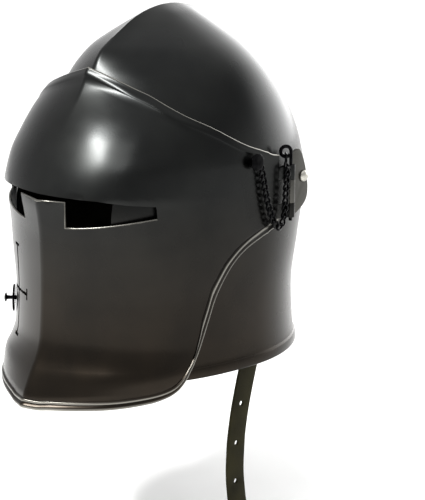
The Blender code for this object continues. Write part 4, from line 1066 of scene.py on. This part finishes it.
line_walk = walked_along(line)
punched = []
for i in range(HOLE_COUNT):
    at = FIRST_HOLE + i * HOLE_PITCH
    spot = [float(np.interp(at, line_walk, [p[k] for p in line])) for k in (0, 1)]
    punched.append(circle(spot, HOLE_RADIUS, 20))
stud_hole = circle((STRAP_BACK, STUD_HEIGHT), HOLE_RADIUS, 20)
strap = flat_work([ribbon(line, STRAP_WIDTH), stud_hole] + punched, strap_in, strap_out, SIDE_VIEW, 0.0006)
finish_piece("dressed_chin_strap", strap, leather, "helmet", ["chin_strap"], 50)

SHORT_LENGTH, PRONG_GAP, wire_radius = 0.088, 0.003, 0.0017
front, back, top = STRAP_BACK - STRAP_WIDTH / 2, STRAP_BACK + STRAP_WIDTH / 2, STUD_HEIGHT + STRAP_WIDTH / 2
low = top - SHORT_LENGTH
fold_in = wire_radius + CLEARANCE
fold_out = fold_in + STRAP_THICKNESS
middle, bar_height = (strap_in + strap_out) / 2, low - fold_out + STRAP_THICKNESS / 2
short = [(front, top), (back, top), (back, low), (front, low)]
parts = [flat_work([short, stud_hole], strap_in, strap_out, SIDE_VIEW, 0.0005)]
fold = [circle((middle, bar_height), fold_out), circle((middle, bar_height), fold_in)]
for start, end in ((front, STRAP_BACK - PRONG_GAP), (STRAP_BACK + PRONG_GAP, back)):
    parts.append(flat_work(fold, -end, -start, FRONT_VIEW, 0.0004))
finish_piece("dressed_buckle_strap", mirrored(joined(parts)), leather, "helmet", ["buckle_strap"], 50)

# %% [markdown]
# ## Buckle and studs
#
# The buckle is a plain wire frame with a straight prong across it. The studs that hold the straps have low
# domed heads on the inside, so nothing shows on the bowl.

# %% Make the buckle and studs
wide, corner, foot = 0.015, 0.004, bar_height - 0.026
corners = ((wide, bar_height, 0), (-wide, bar_height, 90), (-wide, foot, 180), (wide, foot, 270))
loop = []
for y, z, start in corners:
    centre = (y - corner * (1 if y > 0 else -1), z - corner * (1 if z == bar_height else -1))
    loop += circle(centre, corner, 6, radians(start), pi / 2)
frame_wire = wire([(middle, STRAP_BACK + y, z) for y, z in loop], wire_radius, cyclic=True)
prong = wire([(middle, STRAP_BACK, bar_height + 0.0008),
              (middle + 0.0012, STRAP_BACK, (bar_height + foot) / 2),
              (middle + 0.0006, STRAP_BACK, foot - 0.0014)], 0.0012)
finish_piece("dressed_buckle", mirrored(joined([frame_wire, prong])), black_wire, "helmet", ["buckle"])

stud_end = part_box("strap_stud_left")[1].x
under = strap_in - CLEARANCE
stud = [(0, stud_end), (0.0018, stud_end), (0.0018, under), (0.005, under)]
stud += [(0.005 * cos(a), under - 0.0018 * sin(a)) for a in np.linspace(0.25, pi / 2, 7)]
finish_pair("strap_stud", turned(stud, Matrix.Translation((0, STRAP_BACK, STUD_HEIGHT)) @ side_face),
            black_wire, "helmet")

# %% [markdown]
# ## Floor
#
# The photograph was taken on a white sweep. A pale floor that glows a little lies just under the strap's
# end, so the steel finds white below it.

# %% Set the floor
FLOOR_GAP = 0.004
form = bmesh.new()
bmesh.ops.create_grid(form, x_segments=1, y_segments=1, size=6.0)
floor_mesh = to_mesh(form)
floor_mesh.transform(Matrix.Translation((0, 0, cad_box[0][2] - FLOOR_GAP)))
floor_finish, _, _ = new_finish("white_sweep", Base_Color=linear("#f6f6f5"), Roughness=0.9,
                                Emission_Color=linear("#ffffff"), Emission_Strength=0.12)
floor_mesh.materials.append(floor_finish)
floor = add_object("floor", floor_mesh)
print("floor laid", round(1000 * FLOOR_GAP), "mm under the strap's end")

# %% [markdown]
# ## Lights
#
# The helmet was lit from above the brow. A long narrow soft box gives the round highlight on the plate, and
# a wider and fainter one fades its edge.

# %% Set the lights
def panel(name, place, aim, width, height, power):
    """A soft rectangular light at a place, turned to its aim."""
    light = bpy.data.lights.new(name, "AREA")
    light.shape, light.size, light.size_y, light.energy = "RECTANGLE", width, height, power
    holder = add_object(name, light)
    holder.location = place
    holder.rotation_euler = (Vector(aim) - Vector(place)).to_track_quat("-Z", "Y").to_euler()
    print(name, power, "W")


brow = (0.03, -0.10, -0.09)
panel("brow_softbox", (-0.48, -1.14, 0.92), brow, 0.40, 0.09, 29)
panel("brow_glow", (0.10, -1.22, 0.90), brow, 0.60, 0.35, 4)

# %% [markdown]
# ## Surround
#
# Polished steel shows what stands round it more than the lamps. The world is that surround: as bright as
# the floor at the horizon, so that no line shows in the steel, dimmer above it and bright again overhead.
# A broad glow behind the helmet gives it its bright outline. The plain view transform keeps white white.

# %% Paint the surround
def surround():
    """A world whose light depends on height, with one broad glow behind the helmet."""
    world = bpy.data.worlds.new("studio_surround")
    world.use_nodes = True
    tree = world.node_tree
    way = add_node(tree, "TexCoord").outputs["Generated"]
    height = add_node(tree, "SeparateXYZ", {"Vector": way}).outputs["Z"]
    share = add_node(tree, "MapRange", {"Value": height, "From Min": -1.0, "From Max": 1.0})
    sky = add_node(tree, "ValToRGB", {"Fac": share.outputs["Result"]})
    stops = ((0.0, "#cccccc"), (0.50, "#cccccc"), (0.62, "#c0c0c0"), (0.74, "#a4a4a4"), (0.86, "#c4c4c4"),
             (1.0, "#ffffff"))
    sky.color_ramp.interpolation = "B_SPLINE"
    while len(sky.color_ramp.elements) < len(stops):
        sky.color_ramp.elements.new(0.5)
    for stop, (place, grey) in zip(sky.color_ramp.elements, stops):
        stop.position, stop.color = place, linear(grey)
    toward = add_node(tree, "VectorMath", {0: way, 1: Vector((-0.10, 0.99, 0.0)).normalized()},
                      operation="DOT_PRODUCT").outputs["Value"]
    glow = add_node(tree, "MapRange", {"Value": toward, "From Min": 0.56, "From Max": 1.0, "To Max": 2.2},
                    interpolation_type="SMOOTHSTEP").outputs["Result"]
    both = add_node(tree, "VectorMath", {0: sky.outputs["Color"], 1: glow}, operation="ADD")
    back = tree.nodes["Background"]
    tree.links.new(both.outputs["Vector"], back.inputs["Color"])
    back.inputs["Strength"].default_value = 1.5
    return world


bpy.context.scene.world = surround()
bpy.context.scene.view_settings.view_transform = "Standard"
print("surround painted")
